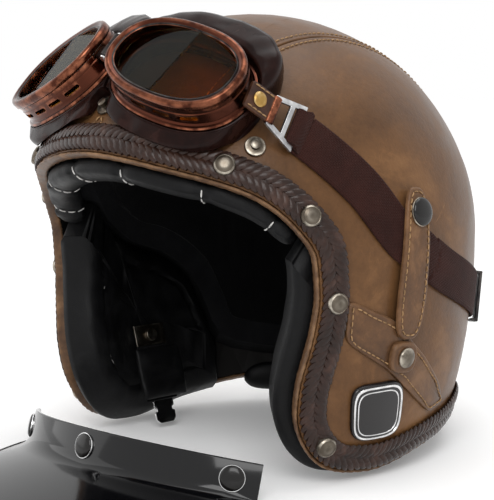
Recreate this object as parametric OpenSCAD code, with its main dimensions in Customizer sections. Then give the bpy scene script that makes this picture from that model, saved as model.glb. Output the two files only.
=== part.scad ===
// Open-face motorcycle helmet, leather covered, with aviator goggles strapped over it
// and a sun peak lying in front of it.
// Origin: on the resting plane, under the middle of the head form.
// Axes: -Y is the front, +X the wearer's left, +Z up. Millimetres.

/* [Head form] */
// Half of the helmet's outer width
half_w = 121.6; // [100:0.1:150]
// Distance from the middle of the form to the forehead
front_r = 137.3; // [112:0.1:168]
// Distance from the middle of the form to the back of the head
back_r = 141.9; // [116:0.1:172]
// Height of the crown above the widest level
crown_r = 128; // [105:0.1:156]
// Depth of the form's lower quarter, which the rim cuts short
lower_r = 221.5; // [185:0.1:265]
// Height of the widest level above the table
mid_z = 123.4; // [117:0.1:130]

/* [Layers] */
// Thickness of the leather cover
leather_t = 1.3; // [0.8:0.1:2.2]
// Foam scrim between leather and shell
scrim_t = 1; // [0.8:0.1:2]
// Thickness of the moulded shell
shell_t = 3.6; // [2.4:0.1:5]
// Thickness of the impact liner
liner_t = 20; // [14:0.5:25]
// Thickness of the comfort padding
comfort_t = 6; // [4:0.5:9]
// Clear space between stacked layers of the inside
layer_gap = 1; // [0.8:0.1:1.4]
// Rest clearance between soft pieces that touch
seat_gap = 0.3; // [0.2:0.05:0.5]

/* [Rim trim] */
// Width of the braided trim
braid_w = 15; // [10:0.5:18]
// Thickness of the braided trim
braid_t = 3.2; // [2:0.1:4.5]
// How far the rolled edge binding stands past the rim
binding_w = 2.2; // [1.4:0.1:3]
// Radius of the rivets through the braid
rivet_r = 5.6; // [4:0.1:6.5]
// Height of a rivet's cap
rivet_h = 2.2; // [1.4:0.1:3]

/* [Cover panels] */
// Half of the width of the crown panel between its two seams
crown_half = 56; // [40:1:66]
// Gap at each seam
seam_gap = 0.6; // [0.4:0.1:1]
// Thickness of the diagonal side band
band_t = 1.4; // [1:0.1:2]
// Side of the badge
badge_w = 37; // [28:1:42]
// Thickness of the badge
badge_t = 2; // [1.4:0.1:3]

/* [Padding] */
// How far the cheek pads reach past the rim
cheek_reach = 13; // [8:0.5:16]
// Thickness of the cheek pads
cheek_t = 25; // [18:0.5:28]
// How far the brow roll reaches past the rim
brow_reach = 12; // [8:0.5:14]
// Thickness of the brow and neck rolls
roll_t = 20; // [14:0.5:22]

/* [Visor studs and peak] */
// Radius of a male snap stud's post
stud_r = 2.6; // [2:0.1:3.5]
// Radius of a stud's base flange
stud_base_r = 5.5; // [4.5:0.1:6]
// Height of a stud above the leather
stud_h = 4.4; // [3.5:0.1:5]
// Wall of the sun peak
peak_t = 2.4; // [1.6:0.1:3.2]
// Height of the peak's band
peak_band_h = 19; // [16:0.5:24]
// Reach of the peak in front of its band
peak_reach = 54; // [40:1:60]
// Drop of the peak from its band to its front edge
peak_drop = 24; // [16:1:28]
// Radius of the peak's snap caps
peak_cap_r = 7; // [5:0.1:8]
// Clear space between the cheek pads and the ends of the peak
peak_gap = 7; // [4:1:20]

/* [Goggles] */
// Tilt of the goggles back from upright
goggle_tilt = 45; // [38:1:52]
// Width of one eye cup
cup_w = 83; // [76:0.5:88]
// Height of one eye cup
cup_h = 53; // [46:0.5:58]
// Distance from the nose to the middle of a cup
cup_x = 48; // [47.5:0.1:52]
// Height of the cups above the goggles' seat
cup_up = 12; // [8:0.5:14]
// Distance of the cup's front from the seat
cup_out = 13.5; // [12:0.5:18]
// Outward turn of each cup
cup_yaw = 17; // [14:0.5:20]
// Droop of each cup's outer end
cup_roll = 7; // [0:0.5:10]
// Depth of the cup, from its front edge to its rear bead
cup_depth = 18; // [14:0.5:19]
// Wall of the cup
cup_wall = 1.5; // [1:0.1:2]
// Width of the lens bezel
bezel_w = 5; // [3.5:0.1:6]
// Depth of the lens bezel
bezel_d = 5; // [4:0.1:6]
// Thickness of a lens pane
lens_t = 2; // [1.4:0.1:2.4]
// Slope of each lens pane away from the crease
lens_bend = 9; // [4:0.5:12]
// Radius of the bridge pin
pin_r = 1.5; // [1.2:0.1:2]
// Running clearance round the bridge pin
pin_clear = 0.08; // [0.03:0.01:0.1]

/* [Strap] */
// Width of the elastic strap
strap_w = 25; // [20:0.5:28]
// Thickness of the elastic strap
strap_t = 1.8; // [1.2:0.1:2.2]
// Thickness of the strap hooks
hook_t = 2; // [1.5:0.1:2.4]
// Thickness of the goggles' side tabs
side_tab_t = 2.6; // [2:0.1:3.2]
// Clearance of the strap in its slider
slider_clear = 0.8; // [0.6:0.05:1.2]

/* [Retaining tabs] */
// Width of a retaining tab
tab_w = 22; // [18:0.5:24]
// Length of the loose part of a retaining tab
tab_len = 78; // [70:1:84]
// Thickness of a retaining tab
tab_t = 2.2; // [1.6:0.1:2.6]
// Radius of the tab's snap cap
snap_r = 7.5; // [6:0.1:8.5]
// Height of the tab's snap cap
snap_h = 3; // [2:0.1:4]

/* [Chin strap] */
// Width of the chin strap's webbing
web_w = 24; // [20:0.5:26]
// Thickness of the chin strap's webbing
web_t = 2; // [1.4:0.1:2.6]
// Drop of the chin strap from its anchors
web_drop = 34; // [26:1:38]
// Radius of the anchor bolts
anchor_r = 4; // [3:0.1:5]

/* [Hidden] */
$fn = 48;

// ---- The head form: a unit sphere stretched by five radii ----
mid = [0, 0, mid_z];
function unit(v) = v / norm(v);
function radii(s) = [half_w, s[1] < 0 ? front_r : back_r, s[2] < 0 ? lower_r : crown_r];
// Point of the form under unit direction s, t inside the leather's outer face
function skin(s, t) = let (r = radii(s)) mid + [for (i = [0:2]) s[i] * (r[i] - t)];
// A point of space as a stretched direction; its length is 1 on the leather
function share(p) = let (q = p - mid, r = radii(q)) [for (i = [0:2]) q[i] / r[i]];
function out_of(s) = let (r = radii(s)) unit([for (i = [0:2]) s[i] / r[i]]);
// Direction on the wearer's left side from its front-back and up-down shares
function side_dir(fy, fz) = [sqrt(max(0, 1 - fy * fy - fz * fz)), fy, fz];
function arc(a, b, k) = let (w = acos(min(1, a * b)))
    w < 0.01 ? a : unit(sin((1 - k) * w) * a + sin(k * w) * b);
function flip_x(v) = [-v[0], v[1], v[2]];

// ---- Smooth closed loops through a few directions ----
function half_loop(shares) = [for (i = [0:len(shares) - 1])
    (i == 0 || i == len(shares) - 1)
        ? [0, (shares[i][0] < 0 ? -1 : 1) * sqrt(1 - pow(shares[i][1], 2)), shares[i][1]]
        : side_dir(shares[i][0], shares[i][1])];
function full_loop(h) = concat(h, [for (i = [len(h) - 2:-1:1]) flip_x(h[i])]);
function spline4(a, b, c, d, k) =
    (2 * b + (c - a) * k + (2 * a - 5 * b + 4 * c - d) * k * k
    + (3 * b - a - 3 * c + d) * k * k * k) / 2;
function on_loop(ctrl, u) = let (n = len(ctrl), x = (u - floor(u)) * n, i = floor(x))
    unit(spline4(ctrl[(i + n - 1) % n], ctrl[i % n], ctrl[(i + 1) % n], ctrl[(i + 2) % n], x - i));
// Point beside a loop: w toward the face or the table, t under the leather's face
function beside(ctrl, u, w, t) = let (
    s = on_loop(ctrl, u), d = 0.004,
    along = skin(on_loop(ctrl, u + d), 0) - skin(on_loop(ctrl, u - d), 0),
    p = skin(s, 0) + unit(cross(along, out_of(s))) * w)
    skin(unit(share(p)), t);
function on_table(p) = [p[0], p[1], max(0, p[2])];

// Rim of the face opening and the lower edge, from the brow to the nape, as shares
rim_half = [[-0.91, 0.411], [-0.852, 0.364], [-0.641, 0.247], [-0.495, 0.07], [-0.452, -0.07],
    [-0.459, -0.173], [-0.488, -0.313], [-0.459, -0.415], [-0.342, -0.502], [-0.131, -0.533],
    [0.212, -0.507], [0.578, -0.476], [0.79, -0.486], [0.87, -0.494]];
rim = full_loop(half_loop(rim_half));
// Edge of the impact liner, which leaves room for the cheek pads
liner_half = [[-0.9, 0.47], [-0.86, 0.452], [-0.76, 0.41], [-0.58, 0.31], [-0.41, 0.16], [-0.3, 0.03],
    [-0.12, -0.05], [0.1, -0.09], [0.28, -0.17], [0.36, -0.28], [0.42, -0.38], [0.6, -0.42],
    [0.8, -0.435], [0.9, -0.44]];
liner_rim = full_loop(half_loop(liner_half));
rim_n = 72;
pole = unit([0, 0.55, 0.83]);

// ---- Solids over the form ----
// Triangles of a quad grid with rows of m points, closed round each row
function wrap_faces(n, m, from, flip) = [for (i = [0:n - 2], j = [0:m - 1]) let (
    a = from + i * m + j, b = from + i * m + (j + 1) % m, c = b + m, d = a + m)
    each flip ? [[a, c, b], [a, d, c]] : [[a, b, c], [a, c, d]]];
function fan_faces(tip, ring, m, flip) = [for (j = [0:m - 1])
    flip ? [tip, ring + (j + 1) % m, ring + j] : [tip, ring + j, ring + (j + 1) % m]];

// A slab of the form inside a loop of directions. t0 is its outer depth and t1 its inner one;
// edge is the share of its thickness left at the loop, for a crowned pad.
module slab(loop, centre, t0, t1, rings, edge = 1, table = false) {
    m = len(loop);
    function depth(k) = t0 + (t1 - t0) * (1 - (1 - edge) * pow(k, 4));
    outer = [for (i = [1:rings], j = [0:m - 1]) skin(arc(centre, loop[j], i / rings), t0)];
    inner = [for (i = [rings:-1:1], j = [0:m - 1])
        skin(arc(centre, loop[j], i / rings), depth(i / rings))];
    points = concat([skin(centre, t0)], outer, inner, [skin(centre, t1)]);
    faces = concat(fan_faces(0, 1, m, false), wrap_faces(2 * rings, m, 1, true),
        fan_faces(1 + 2 * rings * m, 1 + (2 * rings - 1) * m, m, true));
    polyhedron(table ? [for (p = points) on_table(p)] : points, faces, convexity = 6);
}

// A solid swept through rings of points; open sweeps get flat ends
module sweep(rings, closed = false) {
    n = len(rings);
    m = len(rings[0]);
    points = [for (r = rings) each r];
    last = (n - 1) * m;
    faces = concat(wrap_faces(n, m, 0, false), closed
        ? [for (j = [0:m - 1]) let (k = (j + 1) % m) each [[last + j, last + k, k], [last + j, k, j]]]
        : concat([[for (j = [m - 1:-1:0]) j]], [[for (j = [0:m - 1]) last + j]]));
    polyhedron(points, faces, convexity = 6);
}

// A profile of [w, t] pairs carried along part of a loop
function along_loop(ctrl, from, to, n, profile) = [for (i = [0:n])
    [for (q = profile) beside(ctrl, from + (to - from) * i / n, q[0], q[1])]];
module rim_strip(profile) {
    sweep([for (i = [0:rim_n - 1])
        [for (q = profile) beside(rim, i / rim_n, q[0], q[1])]], closed = true);
}

// Points of a rounded rectangle, half sizes a and b, sharper corners for a larger power
function squircle(a, b, power, n) = [for (i = [0:n - 1]) let (
    c = cos(360 * i / n), s = sin(360 * i / n))
    [a * sign(c) * pow(abs(c), 2 / power), b * sign(s) * pow(abs(s), 2 / power)]];
function turn2(p, a) = [p[0] * cos(a) - p[1] * sin(a), p[0] * sin(a) + p[1] * cos(a)];

// Stand children on the leather under direction s, lifted h, their +Z pointing outwards
module stand(s, h = 0) {
    z = out_of(s);
    y = unit([0, 0, 1] - z * z[2]);
    x = cross(y, z);
    o = skin(s, 0) + z * h;
    multmatrix([[x[0], y[0], z[0], o[0]], [x[1], y[1], z[1], o[1]],
        [x[2], y[2], z[2], o[2]], [0, 0, 0, 1]]) children();
}
// Put children in a frame with its X from p to q and its XY plane holding side
module lie(p, q, side) {
    x = unit(q - p);
    z = unit(cross(x, side));
    y = cross(z, x);
    multmatrix([[x[0], y[0], z[0], p[0]], [x[1], y[1], z[1], p[1]],
        [x[2], y[2], z[2], p[2]], [0, 0, 0, 1]]) children();
}
module other_side() { mirror([1, 0, 0]) children(); }
module both_sides() {
    children();
    other_side() children();
}

// ---- Layers ----
shell_top = leather_t + scrim_t;
shell_in = shell_top + shell_t;
pad_top = shell_in + layer_gap;
liner_in = pad_top + liner_t;
rim_loop = [for (i = [0:rim_n - 1]) on_loop(rim, i / rim_n)];

module outer_shell() color("#3b3530") slab(rim_loop, pole, shell_top, shell_in, 11);
liner_n = 52;
module impact_liner() color("#26262a")
    slab([for (i = [0:liner_n - 1]) on_loop(liner_rim, i / liner_n)], pole, pad_top, liner_in, 8);
comfort_inset = 16;
comfort_n = 40;
module comfort_liner() color("#17171a")
    slab([for (i = [0:comfort_n - 1])
        unit(share(beside(liner_rim, i / comfort_n, -comfort_inset, 0)))],
        pole, liner_in + layer_gap, liner_in + layer_gap + comfort_t, 6, edge = 0.5);

// Crown seams: planes at crown_half either side, met by the side panels
seam_n = 22;
function seam_dir(k, x) = let (
    c = sqrt(1 - pow(x / half_w, 2)),
    low = on_rim_at(x),
    a0 = asin(low[0] / c), a1 = 180 - asin(low[1] / c), a = a0 + (a1 - a0) * k)
    [x / half_w, -c * cos(a), c * sin(a)];
// Up-down shares where the rim crosses the plane x, at the brow and at the nape
function cross_u(x, lo, hi, n = 26) = n == 0 ? (lo + hi) / 2 : let (m = (lo + hi) / 2)
    (on_loop(rim, m)[0] * half_w < x) ? cross_u(x, m, hi, n - 1) : cross_u(x, lo, m, n - 1);
function cross_back(x, lo, hi, n = 26) = n == 0 ? (lo + hi) / 2 : let (m = (lo + hi) / 2)
    (on_loop(rim, m)[0] * half_w > x) ? cross_back(x, m, hi, n - 1) : cross_back(x, lo, m, n - 1);
brow_u = cross_u(crown_half + seam_gap / 2, 0, 0.1);
nape_u = cross_back(crown_half + seam_gap / 2, 0.4, 0.5);
function on_rim_at(x) = [on_loop(rim, cross_u(x, 0, 0.1))[2],
    on_loop(rim, cross_back(x, 0.4, 0.5))[2]];
side_seam = [for (k = [0:seam_n]) seam_dir(k / seam_n, crown_half + seam_gap / 2)];
rim_first = ceil(brow_u * rim_n);
rim_last = floor(nape_u * rim_n);
crown_centre = unit([0, 0.51, 1]);
crown_seam = [for (k = [0:seam_n]) seam_dir(k / seam_n, crown_half - seam_gap / 2)];
module leather_crown() color("#6a4c38") slab(concat(crown_seam,
    [for (i = [rim_last + 1:rim_n - rim_last - 1]) rim_loop[i]],
    [for (i = [seam_n:-1:0]) flip_x(crown_seam[i])],
    [for (i = [1 - rim_first:rim_first - 1]) rim_loop[(i + rim_n) % rim_n]]),
    crown_centre, 0, leather_t, 12);
side_centre = side_dir(0.12, 0.1);
module side_panel() slab(concat([for (i = [seam_n:-1:0]) side_seam[i]],
    [for (i = [rim_first:rim_last]) rim_loop[i]]), side_centre, 0, leather_t, 7);
module leather_left() color("#6f5240") side_panel();
module leather_right() color("#6f5240") other_side() side_panel();

// ---- Rim ----
module edge_binding() color("#8a6a4b")
    rim_strip([[seat_gap, -0.5], [binding_w * 0.8, -0.2], [binding_w, shell_in / 2],
        [binding_w * 0.8, shell_in - 0.2], [seat_gap, shell_in]]);
braid_in = 0.6;
module braid_trim() color("#3d2a26")
    rim_strip([[-braid_in, -seat_gap], [-braid_in - 1, -seat_gap - braid_t * 0.8],
        [-braid_in - braid_w / 2, -seat_gap - braid_t],
        [1 - braid_in - braid_w, -seat_gap - braid_t * 0.8], [-braid_in - braid_w, -seat_gap],
        [-braid_in - braid_w / 2, -seat_gap]]);
// Places of the braid rivets round the rim, on one side
rivet_us = [0.062, 0.104, 0.166, 0.293];
module braid_rivets() color("#8f8a80") both_sides()
    for (u = rivet_us) stand(unit(share(beside(rim, u, -braid_in - braid_w / 2, 0))),
        seat_gap + braid_t + seat_gap) {
        cylinder(r = rivet_r, h = rivet_h * 0.6);
        translate([0, 0, rivet_h * 0.6]) cylinder(r1 = rivet_r, r2 = rivet_r * 0.6, h = rivet_h * 0.4);
    }

// ---- Padding ----
module brow_roll() color("#141416") sweep(along_loop(rim, -0.115, 0.115, 22,
    [[-3, pad_top], [brow_reach * 0.6, pad_top], [brow_reach, pad_top + roll_t * 0.3],
    [brow_reach, pad_top + roll_t * 0.75], [brow_reach * 0.6, pad_top + roll_t],
    [-3, pad_top + roll_t]]));
neck_w = 18;
module neck_roll() color("#141416") sweep([for (r = along_loop(rim, 0.415, 0.585, 18,
    [[-4, pad_top], [neck_w * 0.8, pad_top + 2], [neck_w, pad_top + roll_t * 0.3],
    [neck_w, pad_top + roll_t * 0.7], [neck_w * 0.7, pad_top + roll_t], [-4, pad_top + roll_t]]))
    [for (p = r) on_table(p)]]);
// Cheek pad outline: along the rim with a reach, then back beside the impact liner
cheek_u0 = 0.128;
cheek_u1 = 0.4;
cheek_v0 = 0.15;
cheek_v1 = 0.385;
cheek_n = 22;
function reach(k) = k < 0.6 ? cheek_reach : cheek_reach + (8 - cheek_reach) * (k - 0.6) / 0.4;
cheek_loop = concat(
    [for (i = [0:cheek_n]) unit(share(beside(rim, cheek_u0 + (cheek_u1 - cheek_u0) * i / cheek_n,
        reach(i / cheek_n), 0)))],
    [for (i = [cheek_n - 4:-1:0]) unit(share(beside(liner_rim,
        cheek_v0 + (cheek_v1 - cheek_v0) * i / (cheek_n - 4), 2.5, 0)))]);
cheek_centre = side_dir(-0.16, -0.28);
module cheek() slab([for (i = [len(cheek_loop) - 1:-1:0]) cheek_loop[i]], cheek_centre,
    pad_top, pad_top + cheek_t, 5, edge = 0.55, table = true);
module cheek_pad_left() color("#101012") cheek();
module cheek_pad_right() color("#101012") other_side() cheek();

// ---- Diagonal side bands and badge ----
band_outline = [[-0.345, -0.1], [-0.12, -0.16], [0.08, -0.262], [0.22, -0.34], [0.3, -0.402],
    [0.19, -0.42], [0.1, -0.385], [-0.13, -0.28], [-0.345, -0.2]];
module side_band() {
    edge = [for (q = band_outline) side_dir(q[0], q[1])];
    n = len(edge);
    loop = [for (i = [n - 1:-1:0], k = [0:3]) arc(edge[(i + 1) % n], edge[i], k / 4)];
    slab(loop, side_dir(-0.03, -0.262), -seat_gap - band_t, -seat_gap, 3);
}
module side_band_left() color("#7a5a41") side_band();
module side_band_right() color("#7a5a41") other_side() side_band();
badge_dir = side_dir(-0.15, -0.385);
module badge() color("#1f1b1c") {
    c = skin(badge_dir, 0);
    loop = [for (q = squircle(badge_w / 2, badge_w / 2, 4, 32)) let (
        r = turn2(q, -6)) unit(share(c + [0, -r[0], r[1]]))];
    slab([for (i = [31:-1:0]) loop[i]], badge_dir, -seat_gap - badge_t, -seat_gap, 2);
}

// ---- Visor studs ----
stud_dirs = [[0, -sqrt(1 - 0.59 * 0.59), 0.59], side_dir(-0.6, 0.434), flip_x(side_dir(-0.6, 0.434))];
module visor_studs() color("#77736b") for (s = stud_dirs) stand(s, seat_gap) {
    cylinder(r = stud_base_r, h = 1.2);
    cylinder(r = stud_r, h = stud_h);
}

// ---- Retaining tabs ----
tab_low = side_dir(-0.073, -0.25);
tab_tilt = 5;
tab_under = strap_t + 2 * seat_gap + 0.3;
tab_foot = 9;
tab_start = 10.2;
// Point of the tab, u up from its rivet and v to the rear, laid on the form
function tab_dir(v, u) = let (c = skin(tab_low, 0), r = turn2([v, u], -tab_tilt))
    unit(share(c + [0, r[0], r[1]]));
module tab_base() difference() {
    slab([for (q = squircle(tab_w / 2 - 1.5, tab_foot, 3, 28)) tab_dir(q[0], q[1])],
        tab_dir(0, 0), -tab_under - tab_t, -seat_gap * 2 - band_t, 2);
    stand(tab_low, -2) cylinder(r = rivet_r * 0.55, h = 20);
}
module tab_base_left() color("#7c5b40") tab_base();
module tab_base_right() color("#7c5b40") other_side() tab_base();
module tab_rivets() color("#9a958a") both_sides() stand(tab_low, seat_gap * 2 + band_t) {
    cylinder(r = rivet_r * 0.5, h = tab_under + tab_t - band_t);
    translate([0, 0, tab_under + tab_t - band_t - seat_gap]) cylinder(r = rivet_r, h = rivet_h);
}
tab_mid = tab_start + tab_len / 2;
module retaining_tab() slab([for (q = squircle(tab_w / 2, tab_len / 2, 3.4, 36))
    tab_dir(q[0] * (1 - 0.22 * (q[1] / tab_len + 0.5)), tab_mid + q[1])],
    tab_dir(0, tab_mid), -tab_under - tab_t, -tab_under, 3);
module retaining_tab_left() color("#7c5b40") retaining_tab();
module retaining_tab_right() color("#7c5b40") other_side() retaining_tab();
snap_u = tab_start + tab_len - 13;
module tab_snap() stand(tab_dir(1, snap_u), 0) {
    translate([0, 0, tab_under + tab_t + seat_gap + 0.2]) cylinder(r = snap_r, h = snap_h * 0.6);
    translate([0, 0, tab_under + tab_t + seat_gap + 0.2 + snap_h * 0.6])
        cylinder(r1 = snap_r, r2 = snap_r * 0.7, h = snap_h * 0.4);
}
module tab_snap_left() color("#2b2320") tab_snap();
module tab_snap_right() color("#2b2320") other_side() tab_snap();

// ---- Strap round the shell ----
// Left half of the strap's centre line, from the hook to the back of the head, as shares
strap_half = [[-0.437, 0.48], [-0.263, 0.272], [-0.095, 0.058], [0.127, -0.042],
    [0.42, -0.115], [0.72, -0.175], [1, -0.2]];
strap_path = [for (q = strap_half) q[0] >= 1
    ? [0, sqrt(1 - q[1] * q[1]), q[1]] : side_dir(q[0], q[1])];
function strap_dir(k) = let (n = len(strap_path), x = min(k, n - 1.001), i = floor(x),
    far = [flip_x(strap_path[n - 2])],
    near = [unit(2 * strap_path[0] - strap_path[1])],
    p = concat(near, strap_path, far))
    unit(spline4(p[i], p[i + 1], p[i + 2], p[i + 3], x - i));
function strap_side(k) = let (a = skin(strap_dir(k), 0), b = skin(strap_dir(k + 0.01), 0))
    unit(cross(out_of(strap_dir(k)), b - a));
function strap_ring(k) = let (c = skin(strap_dir(k), 0), w = strap_side(k) * strap_w / 2)
    [for (q = [[-1, 0], [-1, 1], [0, 1], [1, 1], [1, 0], [0, 0]])
        skin(unit(share(c + w * q[0])), -seat_gap - q[1] * strap_t)];
strap_split = 2.62;
split_lap = 0.6;
module strap_run(k0, k1, n) sweep([for (i = [n:-1:0]) strap_ring(k0 + (k1 - k0) * i / n)]);
strap_begin = 0.02;
// The front run swings about the split, so its end is round and the rear run is cut to match
split_clear = 0.8;
split_at = skin(strap_dir(strap_split), 0);
split_on = skin(strap_dir(strap_split + 0.05), 0);
module split_disc(r) translate([split_at[0] - 4, split_at[1], split_at[2]]) rotate([0, 90, 0])
    cylinder(r = r, h = 10);
module strap_front() difference() {
    strap_run(strap_begin, strap_split + split_lap, 22);
    difference() {
        lie(split_at, split_on, strap_side(strap_split)) translate([0, -strap_w, -strap_w])
            cube([2 * strap_w, 2 * strap_w, 2 * strap_w]);
        split_disc(strap_w / 2);
    }
}
module strap_front_left() color("#3a1c1a") strap_front();
module strap_front_right() color("#3a1c1a") other_side() strap_front();
strap_back_n = 24;
module strap_rear() color("#3a1c1a") difference() {
    strap_back();
    both_sides() split_disc(strap_w / 2 + split_clear);
}
module strap_back() {
    k1 = len(strap_path) - 1.002;
    left = [for (i = [0:strap_back_n])
        strap_ring(strap_split + (k1 - strap_split) * i / strap_back_n)];
    right = [for (i = [strap_back_n:-1:0]) [for (p = left[i]) flip_x(p)]];
    rings = concat([for (r = left) r], [for (r = right) r]);
    sweep([for (i = [len(rings) - 1:-1:0]) rings[i]]);
}
slider_k = 4.95;
slider_wall = 2.6;
slider_len = 12;
module strap_slider() color("#151515") {
    p = skin(strap_dir(slider_k), -seat_gap - strap_t / 2);
    q = skin(strap_dir(slider_k + 0.05), -seat_gap - strap_t / 2);
    lie(p, q, strap_side(slider_k)) difference() {
        translate([-slider_len / 2, -strap_w / 2 - slider_wall, -strap_t / 2 + seat_gap])
            cube([slider_len, strap_w + 2 * slider_wall, strap_t + slider_wall]);
        cube([slider_len + 2, strap_w + 2 * slider_clear, strap_t + 2 * slider_clear], center = true);
    }
}

// ---- Goggles ----
seat_dir = [0, -sqrt(1 - 0.638 * 0.638), 0.638];
seat = skin(seat_dir, 0);
module goggles() translate(seat) rotate([90 - goggle_tilt, 0, 0]) children();
module cup_place() goggles() translate([cup_x, cup_up, cup_out])
    rotate([0, cup_yaw, 0]) rotate([0, 0, -cup_roll]) children();
function turn_x(p, a) = [p[0], p[1] * cos(a) - p[2] * sin(a), p[1] * sin(a) + p[2] * cos(a)];
function turn_y(p, a) = [p[0] * cos(a) + p[2] * sin(a), p[1], p[2] * cos(a) - p[0] * sin(a)];
function cup_point(p) = let (r = turn2(p, -cup_roll),
    g = turn_y([r[0], r[1], p[2]], cup_yaw) + [cup_x, cup_up, cup_out]) g;
function world(g) = seat + turn_x(g, 90 - goggle_tilt);
cup_power = 2.4;
module cup_shape(grow) polygon(squircle(cup_w / 2 + grow, cup_h / 2 + grow, cup_power, 64));
module tube(z0, z1, outside, inside) translate([0, 0, z0]) linear_extrude(z1 - z0) difference() {
    cup_shape(outside);
    cup_shape(inside);
}
vent_w = 11;
vent_h = 2.4;
module vent(x) translate([x, -cup_h / 2 - 4, -cup_depth * 0.62]) rotate([-90, 0, 0]) {
    translate([-(vent_w - vent_h) / 2, -vent_h / 2, 0]) cube([vent_w - vent_h, vent_h, 12]);
    for (s = [-1, 1]) translate([s * (vent_w - vent_h) / 2, 0, 0]) cylinder(d = vent_h, h = 12);
}
module vents() for (i = [-1.5:1:1.5]) vent(i * cup_w * 0.19);
bead_d = 2;
wall_inset = 0.4;
module cup() cup_place() union() {
    difference() {
        tube(-cup_depth, -bezel_d - 0.2, -wall_inset, -wall_inset - cup_wall);
        vents();
    }
    tube(-cup_depth, -cup_depth + bead_d, 2, -3);
}
module bezel() cup_place() tube(-bezel_d, 0, 0.2, -bezel_w);
crease_x = 1;
crease_z = -0.4;
pane_reach = 60;
// One pane of the creased lens, mitred at the crease, on its inner (-1) or outer (1) side
mitre_gap = 0.05;
pane_clear = 0.25;
module pane(side) cup_place() intersection() {
    translate([crease_x, 0, crease_z]) rotate([0, side * lens_bend, 0])
        translate([side > 0 ? -1 : 1 - pane_reach, -cup_h, -lens_t])
        cube([pane_reach, 2 * cup_h, lens_t]);
    translate([crease_x + (side > 0 ? mitre_gap : -mitre_gap - pane_reach), -cup_h, -pane_reach / 2])
        cube([pane_reach, 2 * cup_h, pane_reach]);
    linear_extrude(pane_reach, center = true) cup_shape(-bezel_w - pane_clear);
}
module goggle_cup_left() color("#5a3524") cup();
module goggle_cup_right() color("#5a3524") other_side() cup();
module bezel_left() color("#8a5237") bezel();
module bezel_right() color("#8a5237") other_side() bezel();
module lens_inner_left() color("#3f3d2e") pane(-1);
module lens_outer_left() color("#4a3a1a") pane(1);
module lens_inner_right() color("#3f3d2e") other_side() pane(-1);
module lens_outer_right() color("#4a3a1a") other_side() pane(1);

// How far a cushion puffs out past its cup, all round and more along the brow
side_puff = 9;
brow_puff = 9;
brow_rise = 8;
cushion_n = 44;
nose_gap = 1.2;
// Height that a point under direction s needs to clear the braid
braid_margin = 7;
braid_ramp = 5;
brow_turn = 0.16;
brow_span = 0.78;
function over_braid(s) = let (
    u = cross_u(half_w * min(abs(s[0]), brow_span), 0, brow_turn),
    e = unit(share(beside(rim, u, -braid_in - braid_w - braid_margin, 0))))
    (braid_t + 2 * seat_gap) * max(0, min(1, (e[2] - s[2]) * crown_r / braid_ramp));
// Keep a point of the left cushion off the nose line and out of the leather and the braid
function off_nose(g) = world([max(g[0], nose_gap), g[1], g[2]]);
function rest_point(s) = skin(s, -seat_gap - over_braid(s));
function soft_point(g) = let (p = off_nose(g), s = unit(share(p)), q = rest_point(s))
    norm(p - mid) < norm(q - mid) ? q : p;
function seated(g) = rest_point(unit(share(off_nose(g))));
// Puff at angle a, tucked in under the side tab at the outer end
end_tuck = 0.9;
function puff(a) = (side_puff + brow_puff * max(0, sin(a))) * (1 - end_tuck * pow(max(0, cos(a)), 4));
function cushion_ring(a) = let (
    c = cos(a), s = sin(a), up = max(0, s),
    e = [sign(c) * pow(abs(c), 2 / cup_power), sign(s) * pow(abs(s), 2 / cup_power)])
    [for (q = [[-4, -cup_depth - seat_gap, 0], [2.2, -cup_depth - seat_gap, 0],
        [min(3.4 + up, 1.5 + puff(a)), -cup_depth - seat_gap + brow_rise * up, 0],
        [puff(a), -cup_depth - 3 + brow_rise * 0.7 * up, 0],
        [puff(a) - 1, -cup_depth - 10, 1], [2, -cup_depth - 10, 1], [-3, -cup_depth - 10, 1]])
        let (g = cup_point([(cup_w / 2 + q[0]) * e[0], (cup_h / 2 + q[0]) * e[1], q[1]]))
        q[2] == 1 ? seated(g) : soft_point(g)];
// Notches that let the cushions ride up past the visor studs
stud_clear = 1.8;
notch_h = 10;
notch_len = 40;
module stud_notch(s) stand(s, -2) {
    cylinder(r = stud_base_r + stud_clear, h = notch_h);
    translate([-stud_base_r - stud_clear, -notch_len, 0])
        cube([2 * (stud_base_r + stud_clear), notch_len, notch_h]);
}
module cushion() difference() {
    sweep([for (i = [0:cushion_n - 1]) cushion_ring(360 * i / cushion_n)], closed = true);
    stud_notch(stud_dirs[0]);
    stud_notch(stud_dirs[1]);
}
module goggle_cushion_left() color("#2c1d1d") cushion();
module goggle_cushion_right() color("#2c1d1d") other_side() cushion();

// Bridge: two leaves on the cups' inner ends, knuckles one above the other on a pin
cup_nose = cup_point([-cup_w / 2, 0, -cup_depth * 0.5]);
knuckle_r = 3.4;
knuckle_h = 7.5;
bridge_y = cup_nose[1];
bridge_z = cup_nose[2] + 1;
module at_bridge() goggles() translate([0, bridge_y, bridge_z]) rotate([-90, 0, 0]) children();
module leaf(sgn) difference() {
    union() {
        translate([0, 0, sgn > 0 ? 0.15 : -knuckle_h]) cylinder(r = knuckle_r, h = knuckle_h - 0.15);
        translate([sgn > 0 ? 0 : -cup_nose[0] - 1, -1.6, sgn > 0 ? 0.15 : -knuckle_h])
            cube([cup_nose[0] + 1, 3.2, knuckle_h - 0.15]);
    }
    translate([0, 0, -knuckle_h - 1]) cylinder(r = pin_r + pin_clear, h = 2 * knuckle_h + 2);
    cup_core();
}
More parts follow.
